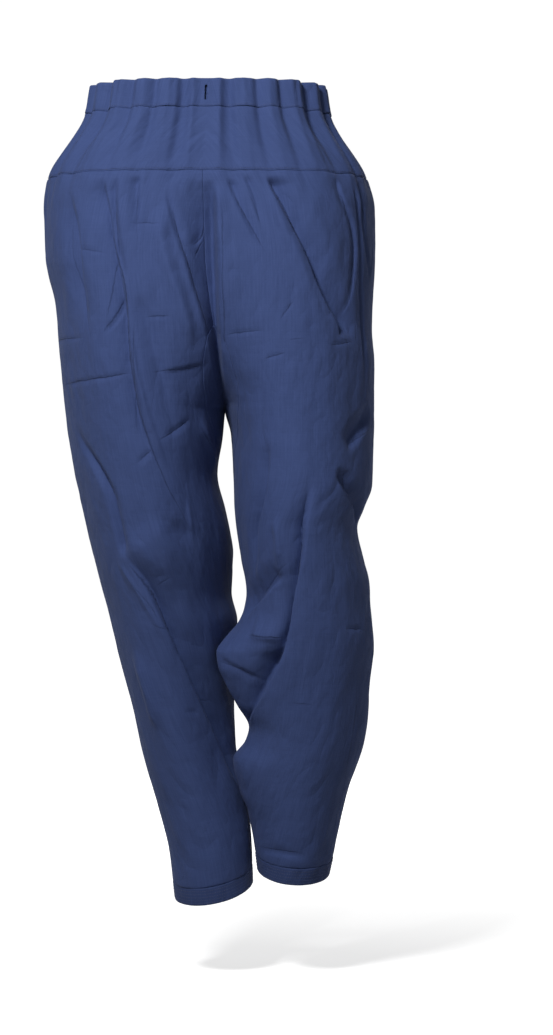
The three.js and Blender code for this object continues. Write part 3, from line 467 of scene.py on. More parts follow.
def column_curve(rows, column):
    """A smooth curve of one column over the height, with no overshoot between the rows."""
    heights = np.array([row["z"] for row in rows], float)
    values = np.array([row[column] for row in rows], float)
    steps = np.diff(heights)
    rises = np.diff(values) / steps
    slopes = np.empty(len(heights))
    slopes[0] = rises[0]
    slopes[-1] = rises[-1]
    for i in range(1, len(rises)):
        if rises[i - 1] * rises[i] <= 0:
            slopes[i] = 0
            continue
        before = 2 * steps[i] + steps[i - 1]
        after = steps[i] + 2 * steps[i - 1]
        slopes[i] = (before + after) / (before / rises[i - 1] + after / rises[i])

    def value(z):
        i = min(max(int(np.searchsorted(-heights, -z, side="right")) - 1, 0), len(steps) - 1)
        t = min(max((z - heights[i]) / steps[i], 0), 1)
        u = 1 - t
        return (
            values[i] * (1 + 2 * t) * u * u
            + values[i + 1] * t * t * (3 - 2 * t)
            + steps[i] * (slopes[i] * t * u * u - slopes[i + 1] * t * t * u)
        )

    return value


def curves(rows):
    return {name: column_curve(rows, name) for name in rows[0] if name != "z"}


seam = curves(SEAM)
valley = curves(VALLEY)


def bezier(points, t):
    """Places at each t on cubic curves, one row of four points for each t."""
    t = t[:, None]
    u = 1 - t
    return (
        points[:, 0] * u**3
        + 3 * points[:, 1] * u * u * t
        + 3 * points[:, 2] * u * t * t
        + points[:, 3] * t**3
    )


def spline(corners):
    """A smooth line through corners."""
    padded = np.vstack([2 * corners[0] - corners[1], corners, 2 * corners[-1] - corners[-2]])
    line = []
    for i in range(1, len(padded) - 2):
        before, start, end, after = padded[i - 1:i + 3]
        for t in np.arange(SPLINE_STEPS) / SPLINE_STEPS:
            line.append(0.5 * (
                2 * start + (end - before) * t
                + (2 * before - 5 * start + 4 * end - after) * t**2
                + (3 * start - before - 3 * end + after) * t**3
            ))
    return np.array(line + [corners[-1]])


def lengths_along(points):
    """The length of a line of points up to each of them."""
    steps = np.linalg.norm(np.diff(points, axis=0), axis=1)
    return np.concatenate([[0], np.cumsum(steps)])


def halve(low, high, past):
    """The place between low and high from which past is true."""
    for _ in range(HALVINGS):
        middle = (low + high) / 2
        if past(middle):
            high = middle
        else:
            low = middle
    return (low + high) / 2


def nearest(line, a, z):
    """How far each place is from a line, on which side, and at which share along the line."""
    best = np.full(len(a), np.inf)
    cross = np.zeros(len(a))
    along = np.zeros(len(a))
    for i in range(len(line) - 1):
        way = line[i + 1] - line[i]
        off_a = a - line[i, 0]
        off_z = z - line[i, 1]
        t = np.clip((off_a * way[0] + off_z * way[1]) / (way @ way), 0, 1)
        distance = np.hypot(off_a - way[0] * t, off_z - way[1] * t)
        nearer = distance < best
        best = np.where(nearer, distance, best)
        cross = np.where(nearer, way[0] * off_z - way[1] * off_a, cross)
        along = np.where(nearer, (i + t) / (len(line) - 1), along)
    return best, cross, along


def in_reach(line, reach, a, z):
    """Which places lie in the box round a line, widened by reach."""
    low = line.min(axis=0) - reach
    high = line.max(axis=0) + reach
    return (a > low[0]) & (a < high[0]) & (z > low[1]) & (z < high[1])


def fading(mark, along):
    return smooth(along / mark["start"]) * smooth((1 - along) / mark["end"])


def crease_height(crease, a, z):
    best, cross, along = nearest(crease["line"], a, z)
    width = np.where(cross > 0, crease["inside"], crease["outside"])
    t = np.clip(best / width, 0, 1)
    profile = (1 - crease["crisp"]) * (1 - smooth(t)) + crease["crisp"] * (1 - t) ** 2
    return crease["depth"] * profile * fading(crease, along)


class Leg:
    """One leg's outer surface. A place on it is a height z and a share g round the ring: 0 at the
    centre seam or inseam in front, 1 at the side seam, and 2 at the seam or inseam behind. The
    front is half 0 of the ring, and the back half 1."""

    def __init__(self, name, side, sections, inseam, creases, presses, hem, tilt):
        self.name = name
        self.side = side
        self.hem = hem
        self.tilt = tilt
        self.section = curves(sections)
        self.inseam = curves(inseam)
        self.rings = {}
        self.creases = [self.place_crease(crease) for crease in creases]
        self.presses = [self.place_crease(press) for press in presses]

    def quarters(self, z):
        """Four curves round the leg: seam to foremost, to side, to rearmost, to seam."""
        front, side, back = (
            np.array([self.section[f"{name}X"](z), self.section[f"{name}Y"](z)])
            for name in ("front", "side", "back"))
        above = z > CROTCH
        if above:
            turn = math.radians(seam["turn"](z))
            inners = [np.array([seam["x"](z), seam[name](z)]) for name in ("frontY", "backY")]
            fullness = [FULLNESS, FULLNESS]
        else:
            turn = math.pi / 2
            inners = [np.array([self.inseam["x"](z), self.inseam["y"](z)])] * 2
            fullness = [self.inseam[name](z) for name in ("full", "fullBack")]

        def beside(point, other, toward, share=1):
            reach = share * FULLNESS * abs(other[0] - point[0])
            return point + np.array([toward * self.side * reach, 0])

        curves_round = []
        for outer, inner, full, ahead in zip((front, back), inners, fullness, (-1, 1)):
            share = 1
            if above:
                depth = abs(outer[1] - inner[1]) / abs(outer[1] - seam["frontY"](CROTCH))
                share = 1 + (math.sqrt(depth) - 1) * math.sin(turn) ** 2
            across = math.cos(turn) * abs(outer[0] - inner[0])
            along = math.sin(turn) * abs(outer[1] - inner[1])
            way = np.array([self.side * math.cos(turn), ahead * math.sin(turn)])
            leave = inner + way * (full * (across + along) * math.sqrt(share))
            at_side = side + np.array([0, FULLNESS * (outer[1] - side[1])])
            curves_round.append([inner, leave, beside(outer, inner, -1, share), outer])
            curves_round.append([outer, beside(outer, side, 1), at_side, side])
        to_front, front_to_side, to_back, back_to_side = curves_round
        return np.array([to_front, front_to_side, back_to_side[::-1], to_back[::-1]])

    def ring(self, z):
        """The ring's four curves, with the lengths along its front half and its back half."""
        if z not in self.rings:
            quarters = self.quarters(z)
            t = np.tile(np.arange(CURVE_SAMPLES) / CURVE_SAMPLES, 2)
            lengths = []
            for half in (0, 1):
                rows = np.repeat(quarters[2 * half:2 * half + 2], CURVE_SAMPLES, axis=0)
                points = np.vstack([bezier(rows, t), quarters[2 * half + 1, 3]])
                lengths.append(lengths_along(points))
            self.rings[z] = (quarters, lengths)
        return self.rings[z]

    def flat_points(self, z, g):
        quarters, lengths = self.ring(z)
        u = np.empty_like(g)
        marks = np.arange(2 * CURVE_SAMPLES + 1) / CURVE_SAMPLES
        for half in (0, 1):
            here = (g > 1) == bool(half)
            wanted = (g[here] - half) * lengths[half][-1]
            u[here] = np.interp(wanted, lengths[half], marks) + 2 * half
        index = np.clip(u.astype(int), 0, 3)
        index = np.where(g <= 1, np.minimum(index, 1), np.maximum(index, 2))
        return bezier(quarters[index], u - index)

    def base_points(self, z, g):
        """The legs' ends slant, so that each level tilts more towards the hem."""
        flat = self.flat_points(z, g)
        share = smooth((TILT_START - z) / (TILT_START - self.hem))
        rise = self.tilt["slopeX"] * (flat[:, 0] - self.tilt["x"])
        rise = rise + self.tilt["slopeY"] * (flat[:, 1] - self.tilt["y"])
        return np.column_stack([flat, z + share * rise])

    def normals(self, z, g):
        """The outward directions of the smooth surface, square to a centre seam beside it."""
        step = 0.004
        rise = 2
        turned_within = 3
        ahead = self.base_points(z, np.minimum(g + step, 2))
        behind = self.base_points(z, np.maximum(g - step, 0))
        up = self.base_points(z + rise, g) - self.base_points(z - rise, g)
        out = np.cross(ahead - behind, up) * self.side
        if z >= GUSSET_TOP:
            out[:, 0] *= smooth(self.to_seam(z, g) / turned_within)
        return out / np.linalg.norm(out, axis=1)[:, None]

    def lengths(self, z):
        return [half[-1] for half in self.ring(z)[1]]

    def to_seam(self, z, g):
        return np.where(g <= 1, g, 2 - g) * np.where(g <= 1, *self.lengths(z))

    def from_side(self, z, g):
        """Distance round the leg from the side seam, positive in front."""
        return (1 - g) * np.where(g <= 1, *self.lengths(z))

    def share_at_x(self, z, wanted, half):
        def past(g):
            return self.side * (self.flat_points(z, np.array([g]))[0, 0] - wanted) >= 0

        return halve(2.0 * half, 1.0, past)

    def place_point(self, on, point):
        """A crease point's place on the chart: its distance from the side seam, and its height."""
        x, z = point
        if on == "side":
            return [x, z]
        if on == "back":
            g = self.share_at_x(z, x, 1)
            return [float(self.from_side(z, np.array([g]))[0]), z]
        height = float(z)
        g = 0.5
        for _ in range(EYE_ROUNDS):
            near = 1 + self.flat_points(height, np.array([g]))[0, 1] / EYE["distance"]
            height = EYE["z"] + (z - EYE["z"]) * near
            g = self.share_at_x(height, EYE["x"] + (x - EYE["x"]) * near, 0)
        height -= self.base_points(height, np.array([g]))[0, 2] - height
        return [float(self.from_side(height, np.array([g]))[0]), height]

    def place_crease(self, crease):
        corners = [self.place_point(crease["on"], point) for point in crease["path"]]
        return {**crease, "line": spline(np.array(corners))}

    def press_layers(self):
        """The pressed creases in layers, in each of which they keep well apart."""
        layers = []
        for press in self.presses:
            for layer in layers:
                apart = [np.hypot(*(press["line"][:, None] - other["line"]).T) for other in layer]
                if min(gap.min() for gap in apart) > 2 * PRESS_REACH:
                    layer.append(press)
                    break
            else:
                layers.append([press])
        return layers

    def press_maps(self, a, z):
        """For each layer, the distance to a pressed crease, signed by its side, and its strength."""
        maps = []
        for layer in self.press_layers():
            distance = np.full(len(a), float(PRESS_REACH))
            strength = np.zeros(len(a))
            for press in layer:
                near = in_reach(press["line"], PRESS_REACH, a, z)
                best, cross, along = nearest(press["line"], a[near], z[near])
                kept = best < PRESS_REACH
                closer = np.flatnonzero(near)[kept]
                shown = press["strength"] * fading(press, along) * smooth(2 - 2 * best / PRESS_REACH)
                distance[closer] = (np.sign(cross) * best)[kept]
                strength[closer] = shown[kept]
            maps.append(np.stack([distance * MM, strength], axis=1))
        return maps

    def crease_lift(self, a, z, to_seam):
        """How far the creases move the cloth out at chart places."""
        lift = np.zeros_like(a)
        for crease in self.creases:
            near = in_reach(crease["line"], max(crease["inside"], crease["outside"]), a, z)
            lift[near] += crease_height(crease, a[near], z[near])
        return lift * smooth(to_seam / SEAM_FADE)

    def gather_lift(self, z, g, to_seam):
        """How far the waist's gathers move the cloth out."""
        uneven = 0.8 * np.sin(2 * np.pi * g) + 0.5 * np.sin(5 * np.pi * g)
        turn = GATHERS_PER_SIDE * np.pi * g + uneven
        strength = 1 + 0.22 * np.cos(3 * np.pi * g) + 0.12 * np.cos(7 * np.pi * g)
        fade = smooth((z - GATHER_END) / (-CASING_HEIGHT - GATHER_END))
        beside = np.where(g < 1, smooth((to_seam - GATHER_FREE) / GATHER_RISE), 1)
        fine = 0.18 * np.cos(2 * turn) + 0.1 * np.cos(41 * np.pi * g)
        return -GATHER_DEPTH * strength * fade * beside * (np.cos(turn) + fine)

    def gusset_share(self, z, half):
        """The share at which the gusset's edge crosses a level."""
        if not GUSSET_TIP < z < GUSSET_TOP:
            return 2.0 * half
        top_y = seam[("frontY", "backY")[half]](GUSSET_TOP)
        down = (GUSSET_TOP - z) / (GUSSET_TOP - GUSSET_TIP)
        wanted = top_y + (self.inseam["y"](GUSSET_TIP) - top_y) * down * down

        def past(g):
            return (self.flat_points(z, np.array([g]))[0, 1] > wanted) == bool(half)

        return halve(2.0 * half, 0.5 + half, past)


def ripple(a, z, size_a, size_z, seed):
    """Smooth random unevenness between -1 and 1, with lumps of about size_a by size_z."""
    lattice = np.random.default_rng(seed).uniform(-1, 1, (LATTICE, LATTICE))
    u = a / size_a + LATTICE_START[0]
    v = z / size_z + LATTICE_START[1]
    i = np.floor(u).astype(int)
    j = np.floor(v).astype(int)
    s = smooth(u - i)
    t = smooth(v - j)

    def row(dj):
        first = lattice[i % LATTICE, (j + dj) % LATTICE]
        return first * (1 - s) + lattice[(i + 1) % LATTICE, (j + dj) % LATTICE] * s

    return row(0) * (1 - t) + row(1) * t


def ripple_lift(a, z, seed):
    lift = np.zeros_like(a)
    for i, row in enumerate(RIPPLES):
        lean_a = a + row["lean"] * z
        lean_z = z - row["lean"] * a
        lift += row["depth"] * ripple(lean_a, lean_z, row["width"], row["height"], seed + i)
    return lift


def valley_depth(leg, levels, g, to_seam):
    """How far back the cloth lies in the valley between the legs."""
    depth, slope, floor, edge = (
        np.array([valley[name](z) for z in levels])[:, None]
        for name in ("depth", "slope", "floor", "edge"))
    if leg.side < 0:
        t = np.clip(to_seam / slope, 0, 1)
        fall = (1 - SLOPE_ROUNDING) * t + SLOPE_ROUNDING * smooth(t)
        return depth * (1 - fall) * (g <= 1)
    rise = smooth((to_seam - floor) / edge)
    return depth * (1 + FLOOR_FALL * np.minimum(to_seam / floor, 1)) * (1 - rise) * (g <= 1)


def groove(distance):
    """The dip of the cloth into a seam."""
    return -GROOVE_DEPTH * np.clip(1 - distance / GROOVE_WIDTH, 0, 1) ** 2


class Patch:
    """A grid of places on one leg's surface, with the outer points of the cloth there."""

    def __init__(self, leg, levels, shares, seed, edges=("top", "bottom", "first", "last")):
        def each(measure):
            return np.array([measure(z, g) for z, g in zip(levels, shares)])

        self.normal = each(leg.normals)
        self.a = each(leg.from_side)
        self.heights = np.repeat(np.array(levels)[:, None], shares[0].size, axis=1)
        g = np.array(shares)
        to_seam = each(leg.to_seam)
        lift = leg.crease_lift(self.a.ravel(), self.heights.ravel(), to_seam.ravel())
        lift = lift.reshape(self.a.shape)
        lift += leg.gather_lift(self.heights, g, to_seam)
        lift += ripple_lift(self.a, self.heights, seed) * smooth(to_seam / SEAM_FADE)
        lift += self.grooves(edges)
        self.points = each(leg.base_points) + self.normal * lift[:, :, None]
        self.points[:, :, 1] += valley_depth(leg, levels, g, to_seam)
        self.chart = np.stack([self.a, self.heights], axis=2)

    def grooves(self, edges):
        dips = {
            "top": groove(self.heights[0, 0] - self.heights),
            "bottom": groove(self.heights - self.heights[-1, 0]),
            "first": CENTRE_GROOVE * groove(np.abs(self.a - self.a[:, :1])),
            "last": groove(np.abs(self.a - self.a[:, -1:])),
        }
        return sum((dips[edge] for edge in edges), np.zeros_like(self.a))


def spaced(start, end, count, margin):
    """Values from start to end, closer together within margin of each end."""
    way = math.copysign(1, end - start)
    close = np.array(CLOSE) * margin
    middle = np.linspace(start + way * margin, end - way * margin, count - 2 * len(close))
    return np.concatenate([start + way * close, middle, end - way * close[::-1]])


def grid_quads(rows, columns, wrap=False):
    at = np.arange(rows * columns).reshape(rows, columns)
    if wrap:
        at = np.hstack([at, at[:, :1]])
    return np.stack([at[:-1, :-1], at[:-1, 1:], at[1:, 1:], at[1:, :-1]], axis=2).reshape(-1, 4)


def weld(points, quads, *others):
    """Points that coincide made one, with the quads that lose a side turned to triangles."""
    keys = np.round(points * WELDS_PER_MM).astype(np.int64)
    _, first, target = np.unique(keys, axis=0, return_index=True, return_inverse=True)
    faces = [list(dict.fromkeys(quad)) for quad in target.reshape(-1)[quads].tolist()]
    faces = [face for face in faces if len(face) > 2]
    return points[first], faces, [other[first] for other in others]


def add_object(name, points, faces, chart=None, presses=()):
    mesh = bpy.data.meshes.new(name)
    mesh.from_pydata((points * MM).tolist(), [], faces)
    if chart is not None:
        corners = np.empty(len(mesh.loops), np.int32)
        mesh.loops.foreach_get("vertex_index", corners)
        layers = {"chart": chart * MM}
        layers.update({f"press_{i + 1}": values for i, values in enumerate(presses)})
        for layer_name, values in layers.items():
            layer = mesh.uv_layers.new(name=layer_name)
            layer.data.foreach_set("uv", values[corners].ravel())
    mesh.polygons.foreach_set("use_smooth", np.ones(len(mesh.polygons), bool))
    mesh.validate()
    mesh.update()
    piece = bpy.data.objects.new(name, mesh)
    bpy.context.collection.objects.link(piece)
    return piece


def cloth_shell(name, points, faces, inward, chart, presses=()):
    """A thin closed shell: the outer sheet, the same sheet moved in, and borders between them."""
    points = points.reshape(-1, 3)
    inward = inward.reshape(-1, 3)
    chart = chart.reshape(-1, 2)
    count = len(points)
    outer = [list(face) for face in faces]
    sample = outer[len(outer) // 2]
    corners = points[sample]
    across = np.cross(corners[1] - corners[0], corners[2] - corners[0])
    if across @ inward[sample[0]] > 0:
        outer = [face[::-1] for face in outer]
    edges = {(face[i - 1], corner) for face in outer for i, corner in enumerate(face)}
    borders = sorted((a, b) for a, b in edges if (b, a) not in edges)
    closed = outer + [[corner + count for corner in face[::-1]] for face in outer]
    closed += [[b, a, a + count, b + count] for a, b in borders]
    both = np.vstack([points, points + inward])
    doubled = [np.vstack([values, values]) for values in presses]
    return add_object(name, both, closed, np.vstack([chart, chart]), doubled)


def panel(leg, half):
    """The front or back of a leg, from the yoke to the hem band, cut away for the gusset."""
    # Levels are close together at the seams, and even at the gusset's top and tip.
    rows = PANEL_GRIDS[half]
    first = spaced(YOKE_BOTTOM - SEAM_HALF, GUSSET_TOP, rows["seat"], GROOVE_WIDTH)[:-len(CLOSE)]
    hem = leg.hem + HEM_HEIGHT + SEAM_HALF
    levels = np.concatenate([
        first,
        np.linspace(first[-1], GUSSET_TOP, 4)[1:-1],
        np.linspace(GUSSET_TOP, CROTCH, rows["above"])[:-1],
        np.linspace(CROTCH, GUSSET_TIP, rows["below"]),
        spaced(GUSSET_TIP, hem, rows["leg"], GROOVE_WIDTH)[2:],
    ]).tolist()
    way = 1 - 2 * half
    shares = []
    for z in levels:
        length = leg.lengths(z)[half]
        start = leg.gusset_share(z, half) + way * SEAM_HALF / length
        end = 1 - way * SEAM_HALF / length
        shares.append(spaced(start, end, rows["columns"], GROOVE_WIDTH / length))
    patch = Patch(leg, levels, shares, SEEDS["leg"])
    presses = () if half else leg.press_maps(patch.a.ravel(), patch.heights.ravel())
    faces = grid_quads(*patch.a.shape).tolist()
    return cloth_shell(
        f"leg_{leg.name}_{HALVES[half]}_cloth", patch.points, faces, -CLOTH * patch.normal,
        patch.chart, presses)


def on_half(shares, half):
    """Shares of the front half, carried over to the back where half is 1."""
    return 2 - shares if half else shares


def yoke(half):
    """The band that goes round the seat above the legs, from side seam to side seam."""
    top = -CASING_HEIGHT - SEAM_HALF
    levels = spaced(top, YOKE_BOTTOM + SEAM_HALF, YOKE_GRID["levels"], GROOVE_WIDTH).tolist()
    sides = []
    for leg in (RIGHT, LEFT):
        shares = []
        for z in levels:
            length = leg.lengths(z)[half]
            close = np.array(CLOSE[::-1]) * GROOVE_WIDTH / length
            edge = 1 - (GROOVE_WIDTH + SEAM_HALF) / length
            middle = np.linspace(0, edge, YOKE_GRID["columns"])
            shares.append(on_half(np.concatenate([middle, 1 - SEAM_HALF / length - close]), half))
        sides.append(Patch(leg, levels, shares, SEEDS["yoke"], ("top", "bottom", "last")))
    right, left = sides

    def joined(of_right, of_left):
        return np.concatenate([of_right[:, ::-1], of_left[:, 1:]], axis=1)

    points = joined(right.points, left.points)
    faces = grid_quads(*points.shape[:2]).tolist()
    return cloth_shell(
        f"yoke_{HALVES[half]}_cloth", points, faces, -CLOTH * joined(right.normal, left.normal),
        joined(right.chart, left.chart))


def fold_path(top_layer, depth, turned, count):
    """A line down one layer of a folded edge and up the other: how far in, how high, and which way
    the cloth's inner face lies. It starts at top_layer, turns at 0 and ends at turned."""
    radius = depth / 2
    way = math.copysign(1, top_layer)
    first = [[0, h] for h in np.linspace(top_layer, way * radius, count)]
    turn = [
        [radius - radius * math.cos(angle), way * (radius - radius * math.sin(angle))]
        for angle in np.linspace(0, math.pi, TURN_STEPS + 1)[1:-1]
    ]
    last = [[depth, h] for h in np.linspace(way * radius, turned, count)]
    path = np.array(first + turn + last)
    ahead = np.gradient(path, axis=0)
    ahead /= np.linalg.norm(ahead, axis=1)[:, None]
    side = np.column_stack([-ahead[:, 1], ahead[:, 0]])
    middle = len(path) // 2
    if side[middle] @ (path[middle] - [radius, way * radius]) > 0:
        side = -side
    return path, side


def folded_band(name, legs_shares, edge_z, fold, seed, hole=None, wrap=False):
    """A band folded over to the inside along its edge, carried along places on the legs."""
    path, side = fold
    length = lengths_along(path)
    levels = [edge_z + h for h in path[:, 1]]
    parts = []
    for leg, shares in legs_shares:
        patch = Patch(leg, levels, [shares] * len(levels), seed, edges=())
        up = leg.base_points(edge_z, shares) - leg.base_points(edge_z - 2, shares)
        up /= np.linalg.norm(up, axis=1)[:, None]
        parts.append((
            patch.points - patch.normal * path[:, :1, None],
            -patch.normal * side[:, :1, None] + up[None] * side[:, 1:, None],
            np.stack([patch.a, np.repeat(-length[:, None], len(shares), axis=1)], axis=2),
        ))
    points, inward, chart = (np.concatenate(rows, axis=1) for rows in zip(*parts))
    faces = grid_quads(*points.shape[:2], wrap=wrap)
    if hole is not None:
        faces = faces[~hole(points.reshape(-1, 3)[faces].mean(axis=1))]
    return cloth_shell(name, points, faces.tolist(), inward * BAND_CLOTH, chart)


def slit(centres):
    """Which faces of the casing lie in the slit for the cord."""
    beside = np.abs(centres[:, 0] - seam["x"](SLIT_TOP)) < SLIT_WIDTH / 2
    outer = centres[:, 1] < seam["frontY"](SLIT_TOP) + CASING_DEPTH / 2
    return beside & outer & (centres[:, 2] < SLIT_TOP) & (centres[:, 2] > SLIT_BOTTOM)


def casing(half):
    """Half of the waist casing, folded over to the inside with the cord's channel in the fold."""
    top_layer = -CASING_HEIGHT + SEAM_HALF
    fold = fold_path(top_layer, CASING_DEPTH, -CASING_TURNING, CASING_GRID["layer"])
    shares = []
    for leg in (LEFT, RIGHT):
        end = 1 - SEAM_HALF / leg.lengths(0)[half]
        part = on_half(np.linspace(end, 0, CASING_GRID["columns"]), half)
        shares.append((leg, part if leg is LEFT else part[::-1][1:]))
    name = f"waist_casing_{HALVES[half]}_cloth"
    return folded_band(name, shares, 0, fold, SEEDS["casing"], None if half else slit)


def hem_band(leg):
    """A leg's hem band, the cloth turned up to the inside and stitched down."""
    top = HEM_HEIGHT - SEAM_HALF
    fold = fold_path(top, HEM_DEPTH, top, HEM_GRID["layer"])
    shares = np.linspace(0, 2, HEM_GRID["columns"])[:-1]
    return folded_band(
        f"hem_{leg.name}_cloth", [(leg, shares)], leg.hem, fold, SEEDS["hem"], wrap=True)


def gusset():
    """A diamond between the legs, from the front seam under the crotch to the back seam."""
    levels = np.linspace(GUSSET_TOP, CROTCH, GUSSET_GRID["above"])[:-1].tolist()
    levels += np.linspace(CROTCH, GUSSET_TIP, GUSSET_GRID["below"]).tolist()
    columns = GUSSET_GRID["columns"]
    parts = []
    for leg in (RIGHT, LEFT):
        for half in (0, 1):
            shares = [
                np.linspace(2 * half, leg.gusset_share(z, half), columns) for z in levels]
            patch = Patch(leg, levels, shares, SEEDS["leg"], edges=())
            across = np.cross(
                np.gradient(patch.points, axis=1), np.gradient(patch.points, axis=0))
            quads = grid_quads(*patch.a.shape) + len(parts) * patch.a.size
            if (across * patch.normal).sum(axis=2).mean() > 0:
                quads = quads[:, ::-1]
            at_edge = np.tile(np.arange(columns) == columns - 1, (len(levels), 1))
            parts.append((patch.points, patch.chart, patch.normal, at_edge[:, :, None], quads))
    points, chart, own, at_edge, quads = (
        np.concatenate([rows.reshape(-1, rows.shape[-1]) for rows in part])
        for part in zip(*parts))
    points, faces, (chart, own, at_edge) = weld(points, quads, chart, own, at_edge[:, 0])
    normal = np.zeros_like(points)
    for face in faces:
        corners = points[face]
        normal[face] += np.cross(corners[1] - corners[0], corners[2] - corners[0])
    normal /= np.maximum(np.linalg.norm(normal, axis=1), 1e-9)[:, None]
    normal *= np.sign((normal * own).sum())
    normal[at_edge] = own[at_edge]
    return cloth_shell("gusset_cloth", points, faces, -CLOTH * normal, chart)


def stitch_row(points, normals):
    """Stitches laid along a line on the cloth, each one a short raised thread."""
    length = lengths_along(points)
    rounds = grid_quads(len(STITCH), STITCH_SIDES, wrap=True)
    verts = []
    faces = []

    def place(values, at):
        return np.array([np.interp(at, length, column) for column in values.T])

    for i in range(int(length[-1] // STITCH_PITCH)):
        base = len(verts)
        start = (i + STITCH_START) * STITCH_PITCH
        for station in STITCH:
            at = start + station["along"] * STITCH_LENGTH
            middle = place(points, at)
            ahead = place(points, at + STITCH_STEP) - middle
            ahead /= max(np.linalg.norm(ahead), 1e-9)
            out = place(normals, at)
            across = np.cross(out, ahead)
            middle = middle + out * STITCH_THICKNESS / 2 * station["height"]
            radius = STITCH_THICKNESS / 2 * station["width"]
            for k in range(STITCH_SIDES):
                turn = 2 * math.pi * k / STITCH_SIDES
                verts.append(middle + radius * (math.cos(turn) * across + math.sin(turn) * out))
        last = len(verts) - STITCH_SIDES
        faces += (rounds + base).tolist()
        faces.append([base + k for k in range(STITCH_SIDES)][::-1])
        faces.append([last + k for k in range(STITCH_SIDES)])
    return verts, faces


def stitches(name, rows):
    verts = []
    faces = []
    for points, normals in rows:
        row_verts, row_faces = stitch_row(points, normals)
        faces += [[corner + len(verts) for corner in face] for face in row_faces]
        verts += row_verts
    return add_object(name, np.array(verts), faces)


def surface_row(leg, z, shares, seed):
    patch = Patch(leg, [z], [shares], seed, edges=())
    return patch.points[0], patch.normal[0]


def round_row(half, z, seed):
    """A line across the front or the back, from side seam to side seam."""
    rows = []
    for leg in (RIGHT, LEFT):
        shares = np.linspace(0, 1 - ROW_END / leg.lengths(z)[half], ROW_POINTS)
        turn = slice(None, None, -1) if leg is RIGHT else slice(1, None)
        row = surface_row(leg, z, on_half(shares, half), seed)
        rows.append([values[turn] for values in row])
    return [np.concatenate(values) for values in zip(*rows)]


RIGHT = Leg(
    "right", -1, RIGHT_SECTIONS, RIGHT_INSEAM, RIGHT_CREASES, RIGHT_PRESSES, -962,
    {"slopeX": 0.187, "slopeY": 0.2, "x": 6, "y": 5})
LEFT = Leg(
    "left", 1, LEFT_SECTIONS, LEFT_INSEAM, LEFT_CREASES, LEFT_PRESSES, -940,
    {"slopeX": -0.057, "slopeY": 0.18, "x": 102, "y": -8})


class Nodes:
    """A material's nodes, made and linked one line each."""

    def __init__(self, name):
        self.material = bpy.data.materials.new(name)
        self.material.use_nodes = True
        self.tree = self.material.node_tree
        self.tree.nodes.clear()

    def put(self, node, values):
        for key, value in values.items():
            if isinstance(value, bpy.types.NodeSocket):
                self.tree.links.new(value, node.inputs[key])
            else:
                node.inputs[key].default_value = value

    def add(self, kind, settings, values):
        node = self.tree.nodes.new(kind)
        for key, value in settings.items():
            setattr(node, key, value)
        self.put(node, values)
        return node

    def math(self, operation, first, second=0.0):
        node = self.add("ShaderNodeMath", {"operation": operation}, {0: first, 1: second})
        return node.outputs[0]

    def total(self, *shares):
        """The sum of values, each times its share."""
        whole = 0.0
        for value, share in shares:
            whole = self.math("ADD", self.math("MULTIPLY", value, share), whole)
        return whole

    def mix(self, factor, first, second):
        node = self.add(
            "ShaderNodeMix", {"data_type": "RGBA", "clamp_result": True},
            {0: factor, 6: first, 7: second})
        return node.outputs[2]

    def noise(self, vector, across, along, detail):
        mapping = self.add(
            "ShaderNodeMapping", {}, {"Vector": vector, "Scale": (across, along, 1)})
        values = {"Vector": mapping.outputs[0], "Scale": 1.0, "Detail": detail}
        return self.add("ShaderNodeTexNoise", {}, values).outputs["Fac"]

    def folds(self, vector, across, along):
        """Noise with sharp lines where it crosses its middle value."""
        noise = self.noise(vector, across, along, 1)
        return self.math("ABSOLUTE", self.math("SUBTRACT", noise, 0.5))

    def span(self, value, low, high, start, end):
        """The value carried from low and high to start and end, and kept between them."""
        values = {
            "Value": value, "From Min": low, "From Max": high, "To Min": start, "To Max": end}
        return self.add("ShaderNodeMapRange", {"clamp": True}, values).outputs[0]

    def bump(self, height, distance, strength, normal=None):
        values = {"Height": height, "Distance": distance, "Strength": strength}
        if normal is not None:
            values["Normal"] = normal
        return self.add("ShaderNodeBump", {}, values).outputs["Normal"]

    def layer(self, name):
        return self.add("ShaderNodeUVMap", {"uv_map": name}, {}).outputs["UV"]

    def finish(self, values):
        """The material with its surface from these values."""
        shader = self.add("ShaderNodeBsdfPrincipled", {}, values)
        self.add("ShaderNodeOutputMaterial", {}, {"Surface": shader.outputs[0]})
        return self.material


def rgba(color, share=1.0):
    return (color[0] * share, color[1] * share, color[2] * share, 1.0)


def pressed_lines(nodes, chart, count):
    """1 along the pressed creases and 0 away from them, uneven as a hand would press them. It sets the
    creases' bump and their painted shade.
    """
    waver = nodes.math("SUBTRACT", nodes.noise(chart, 160, 160, 1), 0.5)
    waver = nodes.math("MULTIPLY", waver, 2.4 * MM)
    uneven = nodes.span(nodes.noise(chart, 70, 70, 1), 0.3, 0.7, 0.55, 1.0)
    crease_and_shade_mask = 0.0
    for i in range(count):
        split = nodes.add("ShaderNodeSeparateXYZ", {}, {"Vector": nodes.layer(f"press_{i + 1}")})
        away = nodes.math("ABSOLUTE", nodes.math("ADD", split.outputs["X"], waver))
        line = nodes.span(away, 0.0, PRESS_WIDTH * MM, 1.0, 0.0)
        crease_and_shade_mask = nodes.math("MAXIMUM", nodes.math("MULTIPLY", line, split.outputs["Y"]), crease_and_shade_mask)
    return nodes.math("MULTIPLY", crease_and_shade_mask, uneven)


